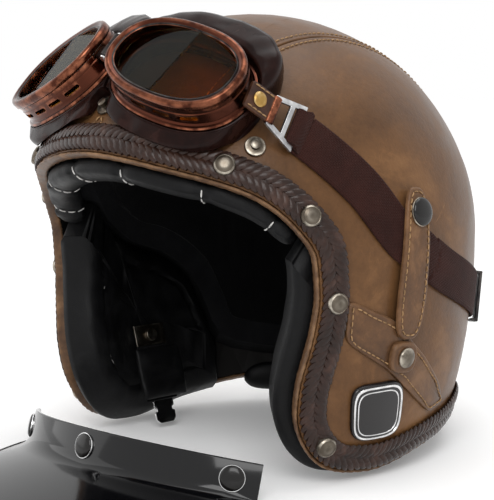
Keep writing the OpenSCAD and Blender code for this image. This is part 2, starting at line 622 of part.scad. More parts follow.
// The space of the cups' walls, seen from the bridge's frame
module cup_core() rotate([90, 0, 0]) translate([0, -bridge_y, -bridge_z]) for (m = [0, 1]) mirror([m, 0, 0])
    translate([cup_x, cup_up, cup_out]) rotate([0, cup_yaw, 0]) rotate([0, 0, -cup_roll])
    translate([0, 0, -40]) linear_extrude(60) cup_shape(seat_gap - wall_inset);
module bridge_left() color("#1c1c1e") at_bridge() leaf(1);
module bridge_right() color("#1c1c1e") at_bridge() leaf(-1);
module bridge_pin() color("#c9c9c9") at_bridge() {
    translate([0, 0, -knuckle_h - 0.8]) cylinder(r = pin_r, h = 2 * knuckle_h + 1.6);
    translate([0, 0, knuckle_h + 0.3]) cylinder(r = pin_r + 1, h = 1.2);
    translate([0, 0, -knuckle_h - 1.5]) cylinder(r = pin_r + 1, h = 1.2);
}

// Side tab and hook between the cup's outer end and the strap
cup_end = world(cup_point([cup_w / 2, 3, -cup_depth * 0.5]));
strap_start = skin(strap_dir(strap_begin), -seat_gap - strap_t / 2);
strap_across = strap_side(strap_begin);
link = strap_start - cup_end;
tab_from = cup_end + unit(link) * 1.6;
hook_from = cup_end + link * 0.42;
strap_gap = 4;
hook_len = norm(strap_start - hook_from) - strap_gap;
side_tab_w = 15;
side_tab_len = norm(hook_from - tab_from);
module side_tab() lie(tab_from, strap_start, strap_across) difference() {
    translate([0, -side_tab_w / 2, 0]) union() {
        cube([side_tab_len - 0.4, side_tab_w, side_tab_t]);
    }
    translate([side_tab_len * 0.45, 0, -1]) cylinder(r = 1.6, h = side_tab_t + 2);
}
module side_tab_left() color("#4a2b20") side_tab();
module side_tab_right() color("#4a2b20") other_side() side_tab();
module side_rivet() lie(tab_from, strap_start, strap_across)
    translate([side_tab_len * 0.45, 0, 0]) {
        translate([0, 0, -0.6]) cylinder(r = 1.5, h = side_tab_t + 1);
        translate([0, 0, side_tab_t + 0.3]) cylinder(r = 4, h = 1.2);
        translate([0, 0, -1.2]) cylinder(r = 3, h = 0.9);
    }
module side_rivet_left() color("#b08a3c") side_rivet();
module side_rivet_right() color("#b08a3c") other_side() side_rivet();
hook_bar = 3;
hook_rim = 1;
function hook_half(x) = side_tab_w / 2 + hook_rim + (strap_w - side_tab_w) / 2 * x / hook_len;
module hook_quad(x0, x1, inset) polygon([[x0, inset - hook_half(x0)], [x0, hook_half(x0) - inset],
    [x1, hook_half(x1) - inset], [x1, inset - hook_half(x1)]]);
module strap_hook() lie(hook_from, strap_start, strap_across)
    translate([0, 0, side_tab_t / 2 - hook_t / 2]) linear_extrude(hook_t) difference() {
        hook_quad(0, hook_len, 0);
        hook_quad(hook_bar, hook_len * 0.5, hook_bar);
        hook_quad(hook_len * 0.5 + hook_bar, hook_len - hook_bar, hook_bar);
    }
module strap_hook_left() color("#b9b9b9") strap_hook();
module strap_hook_right() color("#b9b9b9") other_side() strap_hook();

// ---- Chin strap, hanging unbuckled inside ----
anchor_y = -14;
hanger_h = 13;
hanger_t = 1.6;
chin_top = 50;
pad_side = 6;
pad_t = 6;
receiver_h = 15;
receiver_t = 8;
receiver_grip = 4;
web_clear = 1.2;
// Inner face of the cheek pads at y and z
function face_at(y, z) = let (t = pad_top + cheek_t) (half_w - t)
    * sqrt(1 - pow(y / (front_r - t), 2) - pow((mid_z - z) / (lower_r - t), 2));
front_edge = anchor_y - web_w / 2 - pad_side;
chin_len = web_drop + receiver_h - receiver_grip;
web_slant = atan((face_at(front_edge, chin_top) - face_at(front_edge, chin_top - chin_len)) / chin_len);
hang_x = face_at(front_edge, chin_top) - (web_t + web_clear) / cos(web_slant);
// The hanging strap's frame: X away from the head, -Z down the strap, which starts at 0
module hang() translate([hang_x, anchor_y, chin_top]) rotate([0, web_slant, 0]) children();
bolt_z = seat_gap + hanger_h / 2;
bolt_head = 2;
bolt_end = (face_at(anchor_y, chin_top + bolt_z) - hang_x - bolt_z * sin(web_slant))
    / cos(web_slant) - anchor_r * tan(web_slant) - seat_gap;
module chin_anchor() hang() {
    translate([0, -web_w / 2, seat_gap]) cube([hanger_t, web_w, hanger_h]);
    translate([-bolt_head, 0, bolt_z]) rotate([0, 90, 0]) cylinder(r = anchor_r, h = bolt_end + bolt_head);
}
module chin_anchors() color("#8d8d90") both_sides() chin_anchor();
module webbing() hang() translate([0, -web_w / 2, -web_drop]) cube([web_t, web_w, web_drop]);
module chin_strap_left() color("#1b1b1d") webbing();
module chin_strap_right() color("#1b1b1d") other_side() webbing();
receiver_x = web_t - receiver_t;
tongue_slot = 3.6;
module buckle_receiver() color("#232326") hang()
    translate([receiver_x, -web_w / 2 - 1, -chin_len]) difference() {
        cube([receiver_t, web_w + 2, receiver_h]);
        translate([(receiver_t - tongue_slot) / 2 - 1, 4, -1])
            cube([tongue_slot, web_w - 6, receiver_h - 5]);
        translate([receiver_t - web_t - seat_gap, 1 - seat_gap, receiver_h - receiver_grip - seat_gap])
            cube([web_t + 1, web_w + 2 * seat_gap, receiver_grip + 1]);
    }
lever_w = 14;
lever_h = 12;
lever_t = 2.5;
lever_top = 2 - web_drop;
module buckle_lever() color("#7d1717") hang()
    translate([receiver_x - seat_gap - lever_t, -lever_w / 2, lever_top - lever_h])
        cube([lever_t, lever_w, lever_h]);
tongue_w = 16;
tongue_h = 14;
tongue_t = 1.6;
module buckle_tongue() color("#aeb0b3") other_side() hang()
    translate([(web_t - tongue_t) / 2, -tongue_w / 2, -web_drop - tongue_h - seat_gap])
        cube([tongue_t, tongue_w, tongue_h]);
module chin_pad() color("#19191b") other_side() hang()
    translate([-seat_gap - pad_t, -web_w / 2 - pad_side, 1 - web_drop])
        cube([pad_t, web_w + 2 * pad_side, web_drop - 2]);

// ---- Sun peak, taken off and standing on the table in front ----
stud_x = skin(stud_dirs[1], 0)[0];
stud_back = skin(stud_dirs[0], 0)[1] - skin(stud_dirs[1], 0)[1];
peak_r = (stud_x * stud_x + stud_back * stud_back) / (2 * abs(stud_back));
peak_half = asin(min(0.9, stud_x * 1.13 / peak_r));
snap_angle = asin(stud_x / peak_r);
peak_front = peak_r + peak_reach;
peak_lean = atan(peak_drop / (peak_front - peak_r * cos(peak_half)));
peak_lift = seat_gap - sin(peak_lean) * peak_front;
cheek_front = cheek_reach - rim_half[6][0] * front_r;
peak_place_y = peak_r * cos(peak_half) * cos(peak_lean)
    - (peak_drop + peak_band_h) * sin(peak_lean) - cheek_front - peak_gap;
module peak_frame() translate([0, peak_place_y, peak_lift]) rotate([-peak_lean, 0, 0]) children();
// A conical wall over the peak's arc, from radius r0 at height z0 to r1 at z1
module peak_arc(z0, z1, r0, r1) rotate([0, 0, -90 - peak_half]) translate([0, 0, z0])
    rotate_extrude(angle = 2 * peak_half, $fn = 120)
        polygon([[r0, 0], [r0 + peak_t, 0], [r1 + peak_t, z1 - z0], [r1, z1 - z0]]);
// The brim is a cone, cut by the table on which the peak's edge stands
module sun_peak() color("#0d0d0f") intersection() {
    peak_frame() {
        difference() {
            peak_arc(peak_drop, peak_drop + peak_band_h, peak_r, peak_r);
            for (a = [-snap_angle, 0, snap_angle]) rotate([0, 0, a])
                translate([0, -peak_r - peak_t / 2, peak_drop + peak_band_h / 2])
                rotate([90, 0, 0]) cylinder(r = stud_r + 0.4, h = 12, center = true);
        }
        peak_arc(0, peak_drop + 0.01, peak_front, peak_r);
    }
    translate([-peak_front, peak_place_y - 2 * peak_front, seat_gap])
        cube([2 * peak_front, 3 * peak_front, peak_front]);
}
module peak_snaps() color("#2a2a2c") peak_frame() for (a = [-snap_angle, 0, snap_angle])
    rotate([0, 0, a]) translate([0, -peak_r - peak_t - 0.2, peak_drop + peak_band_h / 2]) rotate([90, 0, 0])
        cylinder(r = peak_cap_r, h = 2);

outer_shell();
impact_liner();
comfort_liner();
brow_roll();
cheek_pad_left();
cheek_pad_right();
neck_roll();
edge_binding();
braid_trim();
braid_rivets();
leather_crown();
leather_left();
leather_right();
side_band_left();
side_band_right();
visor_studs();
badge();
tab_base_left();
tab_base_right();
tab_rivets();
retaining_tab_left();
retaining_tab_right();
tab_snap_left();
tab_snap_right();
strap_front_left();
strap_front_right();
strap_rear();
strap_slider();
goggle_cup_left();
goggle_cup_right();
bezel_left();
bezel_right();
lens_inner_left();
lens_outer_left();
lens_inner_right();
lens_outer_right();
goggle_cushion_left();
goggle_cushion_right();
bridge_left();
bridge_right();
bridge_pin();
side_tab_left();
side_tab_right();
side_rivet_left();
side_rivet_right();
strap_hook_left();
strap_hook_right();
chin_anchors();
chin_strap_left();
chin_strap_right();
buckle_receiver();
buckle_lever();
buckle_tongue();
chin_pad();
sun_peak();
peak_snaps();
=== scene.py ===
"""An open-face leather motorcycle helmet with aviator goggles and a sun peak.

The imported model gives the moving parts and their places.  This script models the leatherwork,
the soft goods and the fittings around it, and dresses every surface.  Lengths are in metres,
-Y is the front, +X the wearer's left and +Z up.
"""
from __future__ import annotations

import logging
import math
from dataclasses import dataclass, field
from enum import Enum
from typing import Callable, Optional, Sequence

import bmesh
import bpy
import numpy as np
from bpy.types import ID, Material, Mesh, Node, NodeSocket, NodeTree, Object, World
from mathutils import Matrix, Vector, noise


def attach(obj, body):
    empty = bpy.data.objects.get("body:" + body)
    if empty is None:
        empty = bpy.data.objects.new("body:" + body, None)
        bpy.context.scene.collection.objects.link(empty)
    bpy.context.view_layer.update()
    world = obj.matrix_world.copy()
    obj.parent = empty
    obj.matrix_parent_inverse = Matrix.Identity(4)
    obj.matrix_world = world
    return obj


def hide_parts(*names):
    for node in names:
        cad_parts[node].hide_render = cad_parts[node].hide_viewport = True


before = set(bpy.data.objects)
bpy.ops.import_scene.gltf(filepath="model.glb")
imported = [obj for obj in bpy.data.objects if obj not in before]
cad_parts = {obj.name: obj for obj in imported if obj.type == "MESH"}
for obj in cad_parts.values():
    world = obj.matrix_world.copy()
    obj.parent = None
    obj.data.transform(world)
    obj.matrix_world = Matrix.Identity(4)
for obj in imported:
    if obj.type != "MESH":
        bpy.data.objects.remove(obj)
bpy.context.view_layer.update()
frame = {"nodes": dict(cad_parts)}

LOG = logging.getLogger("helmet")
MM = 0.001
Array = np.ndarray
Depth = Callable[[Array, Array], Array]


# ---- Vectors and the head form ----
def unit(v: Array) -> Array:
    """Vectors of length one along v."""
    v = np.asarray(v, float)
    return v / np.linalg.norm(v, axis=-1, keepdims=True)


def flip_x(v: Array) -> Array:
    """The mirror image of points or directions across the plane X = 0."""
    return np.asarray(v, float) * np.array([-1.0, 1.0, 1.0])


def side_dir(fy: float, fz: float) -> Array:
    """A direction on the wearer's left from its front-back and up-down shares."""
    return np.array([math.sqrt(max(0.0, 1 - fy * fy - fz * fz)), fy, fz])


def arc(a: Array, b: Array, k: Array) -> Array:
    """Directions on the great arcs from a (k = 0) to b (k = 1)."""
    w = np.arccos(np.clip((a * b).sum(-1, keepdims=True), -1, 1))
    w = np.maximum(w, 1e-6)
    return unit(np.sin((1 - k) * w) * a + np.sin(k * w) * b)


def between(points: Sequence[Array], k: Array) -> Array:
    """Directions on a smooth curve through four, k of the way from the second to the third."""
    a, b, c, d = points
    return unit((2 * b + (c - a) * k + (2 * a - 5 * b + 4 * c - d) * k ** 2
                 + (3 * b - a - 3 * c + d) * k ** 3) / 2)


def circle(n: int) -> Array:
    """Even angles of n points round a circle."""
    return np.linspace(0, 2 * math.pi, n, endpoint=False)


@dataclass(frozen=True)
class HeadForm:
    """A unit sphere stretched by five radii, on which everything on the helmet lies."""

    half_w: float = 121.6 * MM
    front_r: float = 137.3 * MM
    back_r: float = 141.9 * MM
    crown_r: float = 128 * MM
    lower_r: float = 221.5 * MM
    mid_z: float = 123.4 * MM

    @property
    def middle(self) -> Array:
        """The middle of the form."""
        return np.array([0, 0, self.mid_z])

    def radii(self, s: Array) -> Array:
        """The radius along each axis for directions s."""
        return np.stack([np.full(s.shape[:-1], self.half_w),
                         np.where(s[..., 1] < 0, self.front_r, self.back_r),
                         np.where(s[..., 2] < 0, self.lower_r, self.crown_r)], -1)

    def skin(self, s: Array, depth: Array | float = 0.0) -> Array:
        """Points under directions s, at a depth below the leather's outer face."""
        s = np.asarray(s, float)
        depth = np.broadcast_to(np.asarray(depth, float), s.shape[:-1])
        return self.middle + s * (self.radii(s) - depth[..., None])

    def under(self, p: Array) -> Array:
        """The directions under which points p lie."""
        q = np.asarray(p, float) - self.middle
        return unit(q / self.radii(q))

    def normal(self, s: Array) -> Array:
        """Outward normals of the form under directions s."""
        s = np.asarray(s, float)
        return unit(s / self.radii(s))


FORM = HeadForm()


@dataclass
class Loop:
    """A smooth closed line over the form through a few shares of its left half."""

    shares: Sequence[tuple[float, float]]
    controls: Array = field(init=False)

    def __post_init__(self) -> None:
        """Works out the control directions of both halves."""
        ends = (0, len(self.shares) - 1)
        half = [np.array([0, math.copysign(math.sqrt(1 - z * z), y), z]) if i in ends
                else side_dir(y, z) for i, (y, z) in enumerate(self.shares)]
        self.controls = np.array(half + [flip_x(h) for h in half[-2:0:-1]])

    def at(self, u: Array) -> Array:
        """Directions at turns u round the loop, from the brow by the left side."""
        n = len(self.controls)
        x = (np.asarray(u, float) % 1.0) * n
        i = np.floor(x).astype(int)
        return between([self.controls[(i + o) % n] for o in (-1, 0, 1, 2)], (x - i)[..., None])

    def beside(self, u: Array, across: Array | float, depth: Array | float = 0.0) -> Array:
        """Points beside the loop: across toward the face, at a depth under the leather."""
        step = 0.004
        s = self.at(u)
        along = FORM.skin(self.at(np.asarray(u) + step)) - FORM.skin(self.at(np.asarray(u) - step))
        side = unit(np.cross(along, FORM.normal(s)))
        across = np.broadcast_to(np.asarray(across, float), side.shape[:-1])
        return FORM.skin(FORM.under(FORM.skin(s) + side * across[..., None]), depth)


RIM = Loop([(-0.91, 0.411), (-0.852, 0.364), (-0.641, 0.247), (-0.495, 0.07), (-0.452, -0.07),
            (-0.459, -0.173), (-0.488, -0.313), (-0.459, -0.415), (-0.342, -0.502),
            (-0.131, -0.533), (0.212, -0.507), (0.578, -0.476), (0.79, -0.486), (0.87, -0.494)])
LINER_RIM = Loop([(-0.9, 0.47), (-0.86, 0.452), (-0.76, 0.41), (-0.58, 0.31), (-0.41, 0.16),
                  (-0.3, 0.03), (-0.12, -0.05), (0.1, -0.09), (0.28, -0.17), (0.36, -0.28),
                  (0.42, -0.38), (0.6, -0.42), (0.8, -0.435), (0.9, -0.44)])


@dataclass(frozen=True)
class Layers:
    """Thicknesses and depths of the helmet's layers."""

    leather: float = 1.3 * MM
    pad_top: float = 6.9 * MM
    liner_in: float = 26.9 * MM
    comfort: float = 6 * MM


LAYERS = Layers()
GAP = 0.3 * MM
BROW_STUD = np.array([0, -math.sqrt(1 - 0.59 ** 2), 0.59])
SIDE_STUD = side_dir(-0.6, 0.434)


class Side(Enum):
    """The wearer's two sides."""

    LEFT = "left"
    RIGHT = "right"

    def put(self, points: Array) -> Array:
        """Left-hand points moved to this side."""
        return np.asarray(points, float) if self is Side.LEFT else flip_x(points)


# ---- Meshes ----
def quads(n: int, m: int, wrap: bool) -> list[tuple[int, int, int, int]]:
    """Faces between n rings of m points, each ring closed.

    Args:
        n: number of rings.
        m: points in a ring.
        wrap: whether the last ring joins the first.
    Returns:
        The faces as vertex numbers.
    """
    faces = []
    for i in range(n if wrap else n - 1):
        a, b = i * m, ((i + 1) % n) * m
        faces += [(a + j, a + (j + 1) % m, b + (j + 1) % m, b + j) for j in range(m)]
    return faces


def show(name: str, data: ID) -> Object:
    """A new object in the scene that shows some data."""
    piece = bpy.data.objects.new(name, data)
    bpy.context.scene.collection.objects.link(piece)
    return piece


def mesh_piece(name: str, points: Array, faces: Sequence[Sequence[int]], finish: Material,
               sharp: float = 40.0, uv: Optional[Array] = None) -> Object:
    """A closed, smooth-shaded mesh object with its faces outwards.

    Args:
        name: the piece's name.
        points: vertices.
        faces: vertex numbers of each face.
        finish: its material.
        sharp: edges turning by more degrees than this stay sharp.
        uv: a UV pair for each vertex, for finishes that follow the surface.
    Returns:
        The object, linked to the scene.
    """
    mesh = bpy.data.meshes.new(name)
    corners = np.asarray(points, float).reshape(-1, 3)
    mesh.from_pydata(corners.tolist(), [], [list(f) for f in faces])
    if uv is not None:
        layer = mesh.uv_layers.new(name="UVMap")
        flat = np.asarray(uv, float).reshape(-1, 2)
        numbers = np.empty(len(mesh.loops), int)
        mesh.loops.foreach_get("vertex_index", numbers)
        layer.data.foreach_set("uv", flat[numbers].ravel())
    tidy_mesh(mesh, sharp)
    mesh.materials.append(finish)
    return show(name, mesh)


def tidy_mesh(mesh: Mesh, sharp: float) -> None:
    """Merges doubled points, turns the faces outwards and shades a mesh smooth."""
    work = bmesh.new()
    work.from_mesh(mesh)
    bmesh.ops.remove_doubles(work, verts=work.verts, dist=2e-6)
    bmesh.ops.dissolve_degenerate(work, edges=work.edges, dist=1e-6)
    bmesh.ops.recalc_face_normals(work, faces=work.faces)
    work.to_mesh(mesh)
    work.free()
    mesh.shade_smooth()
    mesh.set_sharp_from_angle(angle=math.radians(sharp))


def solid(name: str, rows: Array, finish: Material, wrap: bool = False,
          sharp: float = 40.0, uv: Optional[Array] = None) -> Object:
    """A closed solid through rings of points; an open run of rings gets closed ends.

    Args:
        name: the piece's name.
        rows: rings of points, shaped (rings, points, 3).
        finish: its material.
        wrap: whether the last ring joins the first.
        sharp: edges turning by more degrees than this stay sharp.
        uv: UV pairs shaped (rings, points, 2), for an open run.
    Returns:
        The object.
    """
    rows = np.asarray(rows, float)
    if not wrap:
        ends = [np.broadcast_to(r.mean(0), r.shape)[None] for r in (rows[0], rows[-1])]
        rows = np.concatenate([ends[0], rows, ends[1]])
        if uv is not None:
            uv = np.concatenate([uv[:1], uv, uv[-1:]])
    n, m = rows.shape[:2]
    return mesh_piece(name, rows, quads(n, m, wrap), finish, sharp, uv)


def waviness(points: Array, size: float, height: float, seed: float = 0.0) -> Array:
    """Smooth noise at points, with features of a size and up to a height."""
    flat = np.asarray(points, float).reshape(-1, 3) / size + seed
    values = [noise.noise(Vector(p)) for p in flat]
    return np.array(values).reshape(np.asarray(points).shape[:-1]) * height


def rolled(t: float, r: float) -> Callable[[Array], Array]:
    """How far an edge of thickness t drops over its last r, as a quarter round."""
    return lambda d: t * (1 - np.sqrt(np.clip(1 - np.clip(1 - d / r, 0, 1) ** 2, 0, 1)))


def resample(points: Array, pitch: float) -> tuple[Array, Array, Array]:
    """Even steps along a line of points.

    Args:
        points: the line.
        pitch: distance from one step to the next.
    Returns:
        Step points, their directions along the line, and their places as point numbers.
    """
    lengths = np.r_[0, np.cumsum(np.linalg.norm(np.diff(points, axis=0), axis=1))]
    steps = np.arange(pitch / 2, lengths[-1], pitch)
    where = np.interp(steps, lengths, np.arange(len(points)))
    at = np.stack([np.interp(steps, lengths, points[:, i]) for i in range(3)], -1)
    ahead = np.stack([np.interp(steps + pitch / 4, lengths, points[:, i]) for i in range(3)], -1)
    behind = np.stack([np.interp(steps - pitch / 4, lengths, points[:, i]) for i in range(3)], -1)
    return at, unit(ahead - behind), where


def squircle(a: float, b: float, power: float, n: int) -> Array:
    """Points round a rounded rectangle of half sizes a and b; a larger power squares it."""
    t = circle(n)
    c, s = np.cos(t), np.sin(t)
    return np.stack([a * np.sign(c) * np.abs(c) ** (2 / power),
                     b * np.sign(s) * np.abs(s) ** (2 / power)], -1)


def stand(s: Array, lift: float) -> Matrix:
    """The frame on the form under direction s, lifted, with +Z out and +Y up."""
    z = FORM.normal(s)
    y = unit(np.array([0, 0, 1.0]) - z * z[2])
    return axes(np.cross(y, z), y, z, FORM.skin(s) + z * lift)


def lie(p: Array, q: Array, side: Array) -> Matrix:
    """The frame at p with its X toward q and side in its XY plane."""
    x = unit(q - p)
    z = unit(np.cross(x, side))
    return axes(x, np.cross(z, x), z, p)


def axes(x: Array, y: Array, z: Array, origin: Array) -> Matrix:
    """The frame with these axes and origin."""
    m = Matrix.Identity(4)
    for i in range(3):
        m[i] = (x[i], y[i], z[i], origin[i])
    return m


def carry(m: Matrix, points: Array) -> Array:
    """Local points taken into the world by a frame."""
    a = np.array(m, float)
    return np.asarray(points, float) @ a[:3, :3].T + a[:3, 3]


def turned(profile: Sequence[tuple[float, float]], segments: int) -> Array:
    """Rings of a turned part from its (radius, height) profile in millimetres, axis along Z."""
    return np.array([[(r * MM * math.cos(a), r * MM * math.sin(a), z * MM)
                      for a in circle(segments)] for r, z in profile])


# ---- Shader building ----
class Graph:
    """A node tree being wired, with short calls for nodes and links."""

    def __init__(self, tree: NodeTree) -> None:
        """Starts on a tree."""
        self.tree = tree

    def feed(self, socket: NodeSocket, value: object) -> None:
        """Links an output to a socket, or sets the socket's own value."""
        if isinstance(value, NodeSocket):
            self.tree.links.new(value, socket)
        else:
            socket.default_value = value

    def node(self, kind: str, inputs: Optional[dict] = None, **settings: object) -> Node:
        """Adds a node.

        Args:
            kind: the node's type name.
            inputs: values or outputs for its sockets, by name or number.
            settings: properties of the node.
        Returns:
            The node.
        """
        made = self.tree.nodes.new(kind)
        for key, value in settings.items():
            setattr(made, key, value)
        for key, value in (inputs or {}).items():
            socket = made.inputs[key] if isinstance(key, int) else next(
                s for s in made.inputs if s.name == key and s.enabled)
            self.feed(socket, value)
        return made

    def math(self, how: str, a: object, b: object = 0.0) -> NodeSocket:
        """The result of a Math node."""
        return self.node("ShaderNodeMath", {0: a, 1: b}, operation=how).outputs[0]

    def times(self, a: object, b: object) -> NodeSocket:
        """Two values multiplied."""
        return self.math("MULTIPLY", a, b)

    def plus(self, a: object, b: object) -> NodeSocket:
        """Two values added."""
        return self.math("ADD", a, b)

    def ramp(self, value: object, low: float, high: float, to: tuple[float, float] = (0, 1)
             ) -> NodeSocket:
        """A value mapped from a range onto another, and clamped there."""
        return self.node("ShaderNodeMapRange", {"Value": value, "From Min": low, "From Max": high,
                                                "To Min": to[0], "To Max": to[1]}).outputs[0]

    def mix(self, k: object, a: object, b: object, how: str = "MIX") -> NodeSocket:
        """Two colours mixed."""
        node = self.node("ShaderNodeMix", data_type="RGBA", blend_type=how)
        for number, value in ((0, k), (6, a), (7, b)):
            self.feed(node.inputs[number], value)
        return node.outputs[2]

    def noise(self, at: object, scale: float, detail: float = 4.0, rough: float = 0.55
              ) -> NodeSocket:
        """Noise values at a place."""
        return self.node("ShaderNodeTexNoise", {"Vector": at, "Scale": scale, "Detail": detail,
                                                "Roughness": rough}).outputs["Fac"]


class Effects:
    """Shader groups that several finishes share."""

    def __init__(self) -> None:
        """Builds every group once."""
        self.mottle = self._group("mottled_hide", self._mottle, (
            ("Vector", "Vector"), ("Dark", "Color"), ("Middle", "Color"), ("Light", "Color"),
            ("Scale", "Float")), (("Color", "Color"), ("Stain", "Float")))
        self.grain = self._group("pebbled_grain", self._grain, (
            ("Vector", "Vector"), ("Scale", "Float")), (("Height", "Float"),))
        self.wear = self._group("edge_wear", self._wear, (
            ("Vector", "Vector"), ("Amount", "Float")), (("Mask", "Float"),))
        self.weave = self._group("plain_weave", self._weave, (
            ("Vector", "Vector"), ("Warp", "Float"), ("Weft", "Float")),
            (("Height", "Float"), ("Gap", "Float")))
        self.dust = self._group("settled_dust", self._dust, (("Vector", "Vector"),),
                                (("Mask", "Float"),))

    @staticmethod
    def _group(name: str, fill: Callable[[Graph, dict, dict], None],
               takes: Sequence[tuple[str, str]], gives: Sequence[tuple[str, str]]
               ) -> NodeTree:
        """A shader group with named sockets, filled by a function."""
        tree = bpy.data.node_groups.new(name, "ShaderNodeTree")
        for label, kind in takes:
            tree.interface.new_socket(label, in_out="INPUT", socket_type=f"NodeSocket{kind}")
        for label, kind in gives:
            tree.interface.new_socket(label, in_out="OUTPUT", socket_type=f"NodeSocket{kind}")
        graph = Graph(tree)
        into, out = graph.node("NodeGroupInput"), graph.node("NodeGroupOutput")
        fill(graph, {s.name: s for s in into.outputs if s.name},
             {s.name: s for s in out.inputs if s.name})
        return tree

    @staticmethod
    def _mottle(g: Graph, i: dict, o: dict) -> None:
        """Cloudy waxed hide with darker stains and pale pull-up creases."""
        wide = g.noise(i["Vector"], 1.0, 6, 0.62)
        g.feed(wide.node.inputs["Scale"], i["Scale"])
        g.feed(wide.node.inputs["Distortion"], 0.6)
        fine = g.noise(i["Vector"], 260, 5, 0.7)
        cloudy = g.ramp(g.plus(wide, g.times(fine, 0.35)), 0.5, 0.86)
        base = g.mix(cloudy, i["Dark"], i["Middle"])
        lift = g.ramp(wide, 0.56, 0.78)
        wander = g.node("ShaderNodeTexNoise", {"Vector": i["Vector"], "Scale": 30.0, "Detail": 3.0})
        bent = g.node("ShaderNodeVectorMath", {0: i["Vector"], 1: wander.outputs["Color"]},
                      operation="ADD").outputs[0]
        veins = g.node("ShaderNodeTexVoronoi", {"Vector": bent, "Scale": 9.0},
                       feature="DISTANCE_TO_EDGE").outputs["Distance"]
        crease = g.times(g.ramp(veins, 0.0, 0.018, (1, 0)), g.ramp(wide, 0.45, 0.7))
        shade = g.mix(g.times(lift, 0.7), base, i["Light"])
        g.feed(o["Color"], g.mix(g.times(crease, 0.35), shade, i["Light"]))
        g.feed(o["Stain"], g.ramp(wide, 0.38, 0.6, (1, 0)))

    @staticmethod
    def _grain(g: Graph, i: dict, o: dict) -> None:
        """Pebbled leather grain with finer pores."""
        pebble = g.node("ShaderNodeTexVoronoi", {"Vector": i["Vector"], "Scale": i["Scale"]},
                        feature="SMOOTH_F1").outputs["Distance"]
        folds = g.noise(i["Vector"], 420, 6, 0.6)
        g.feed(o["Height"], g.plus(g.times(pebble, -0.6), folds))

    @staticmethod
    def _wear(g: Graph, i: dict, o: dict) -> None:
        """Rubbed edges, broken up by noise; on the copper cups the same mask also paints
        highlights.
        """
        edge = g.ramp(g.node("ShaderNodeNewGeometry").outputs["Pointiness"], 0.505, 0.56)
        patch = g.ramp(g.noise(i["Vector"], 170, 5), 0.4, 0.62)
        g.feed(o["Mask"], g.times(g.times(edge, patch), i["Amount"]))

    @staticmethod
    def _weave(g: Graph, i: dict, o: dict) -> None:
        """Over-and-under threads along both directions of a surface map."""
        parts = g.node("ShaderNodeSeparateXYZ", {0: i["Vector"]})
        x = g.times(parts.outputs[0], i["Warp"])
        y = g.times(parts.outputs[1], i["Weft"])
        across = g.math("ABSOLUTE", g.math("SINE", g.times(x, math.pi)))
        along = g.math("ABSOLUTE", g.math("SINE", g.times(y, math.pi)))
        turn = g.math("MODULO", g.plus(g.math("FLOOR", x), g.math("FLOOR", y)), 2.0)
        over = g.math("ABSOLUTE", turn)
        height = g.plus(g.times(over, across),
                        g.times(g.math("SUBTRACT", 1.0, over), along))
        g.feed(o["Height"], height)
        g.feed(o["Gap"], g.ramp(height, 0.0, 0.45, (1, 0)))

    @staticmethod
    def _dust(g: Graph, i: dict, o: dict) -> None:
        """A little dust on what faces up."""
        up = g.node("ShaderNodeSeparateXYZ", {
            0: g.node("ShaderNodeNewGeometry").outputs["Normal"]}).outputs[2]
        g.feed(o["Mask"], g.times(g.ramp(up, 0.3, 1.0, (0, 0.12)),
                                 g.ramp(g.noise(i["Vector"], 300, 6, 0.7), 0.45, 0.75)))


EFFECTS = Effects()
Colour = tuple[float, float, float]


def rgb(red: int, green: int, blue: int) -> Colour:
    """A colour given as it shows, as the renderer's own values."""
    return tuple((c / 255 / 12.92) if c <= 10 else ((c / 255 + 0.055) / 1.055) ** 2.4
                 for c in (red, green, blue))


Started = tuple[Material, Graph, Node, NodeSocket]


def empty_graph(owner: Material | World) -> Graph:
    """The cleared node tree of a material or a world."""
    owner.use_nodes = True
    owner.node_tree.nodes.clear()
    return Graph(owner.node_tree)


@dataclass(frozen=True)
class Finish:
    """What every finish has: a name, a colour and a roughness."""

    name: str
    colour: Colour
    roughness: float = 0.5
    shine: float = 0.2

    def start(self, own: Optional[dict] = None) -> Started:
        """Starts the material.

        Args:
            own: constants for the shader's own sockets.
        Returns:
            The material, its graph, its Principled shader and its object coordinates.
        """
        material = bpy.data.materials.new(self.name)
        graph = empty_graph(material)
        shader = graph.node("ShaderNodeBsdfPrincipled", {
            "Roughness": self.roughness, "Base Color": (*self.colour, 1),
            "Specular IOR Level": self.shine, **(own or {})})
        graph.node("ShaderNodeOutputMaterial", {"Surface": shader.outputs[0]})
        return material, graph, shader, graph.node("ShaderNodeTexCoord").outputs["Object"]

    @staticmethod
    def group(graph: Graph, tree: NodeTree, **values: object) -> Node:
        """Places a shared effect, its sockets given by name."""
        return graph.node("ShaderNodeGroup", {k.replace("_", " "): v for k, v in values.items()},
                          node_tree=tree)

    @staticmethod
    def bump(graph: Graph, shader: Node, height: object, depth: float,
             strength: float = 1.0) -> None:
        """Gives a shader relief from a height."""
        graph.feed(shader.inputs["Normal"], graph.node("ShaderNodeBump", {
            "Height": height, "Distance": depth, "Strength": strength}).outputs[0])


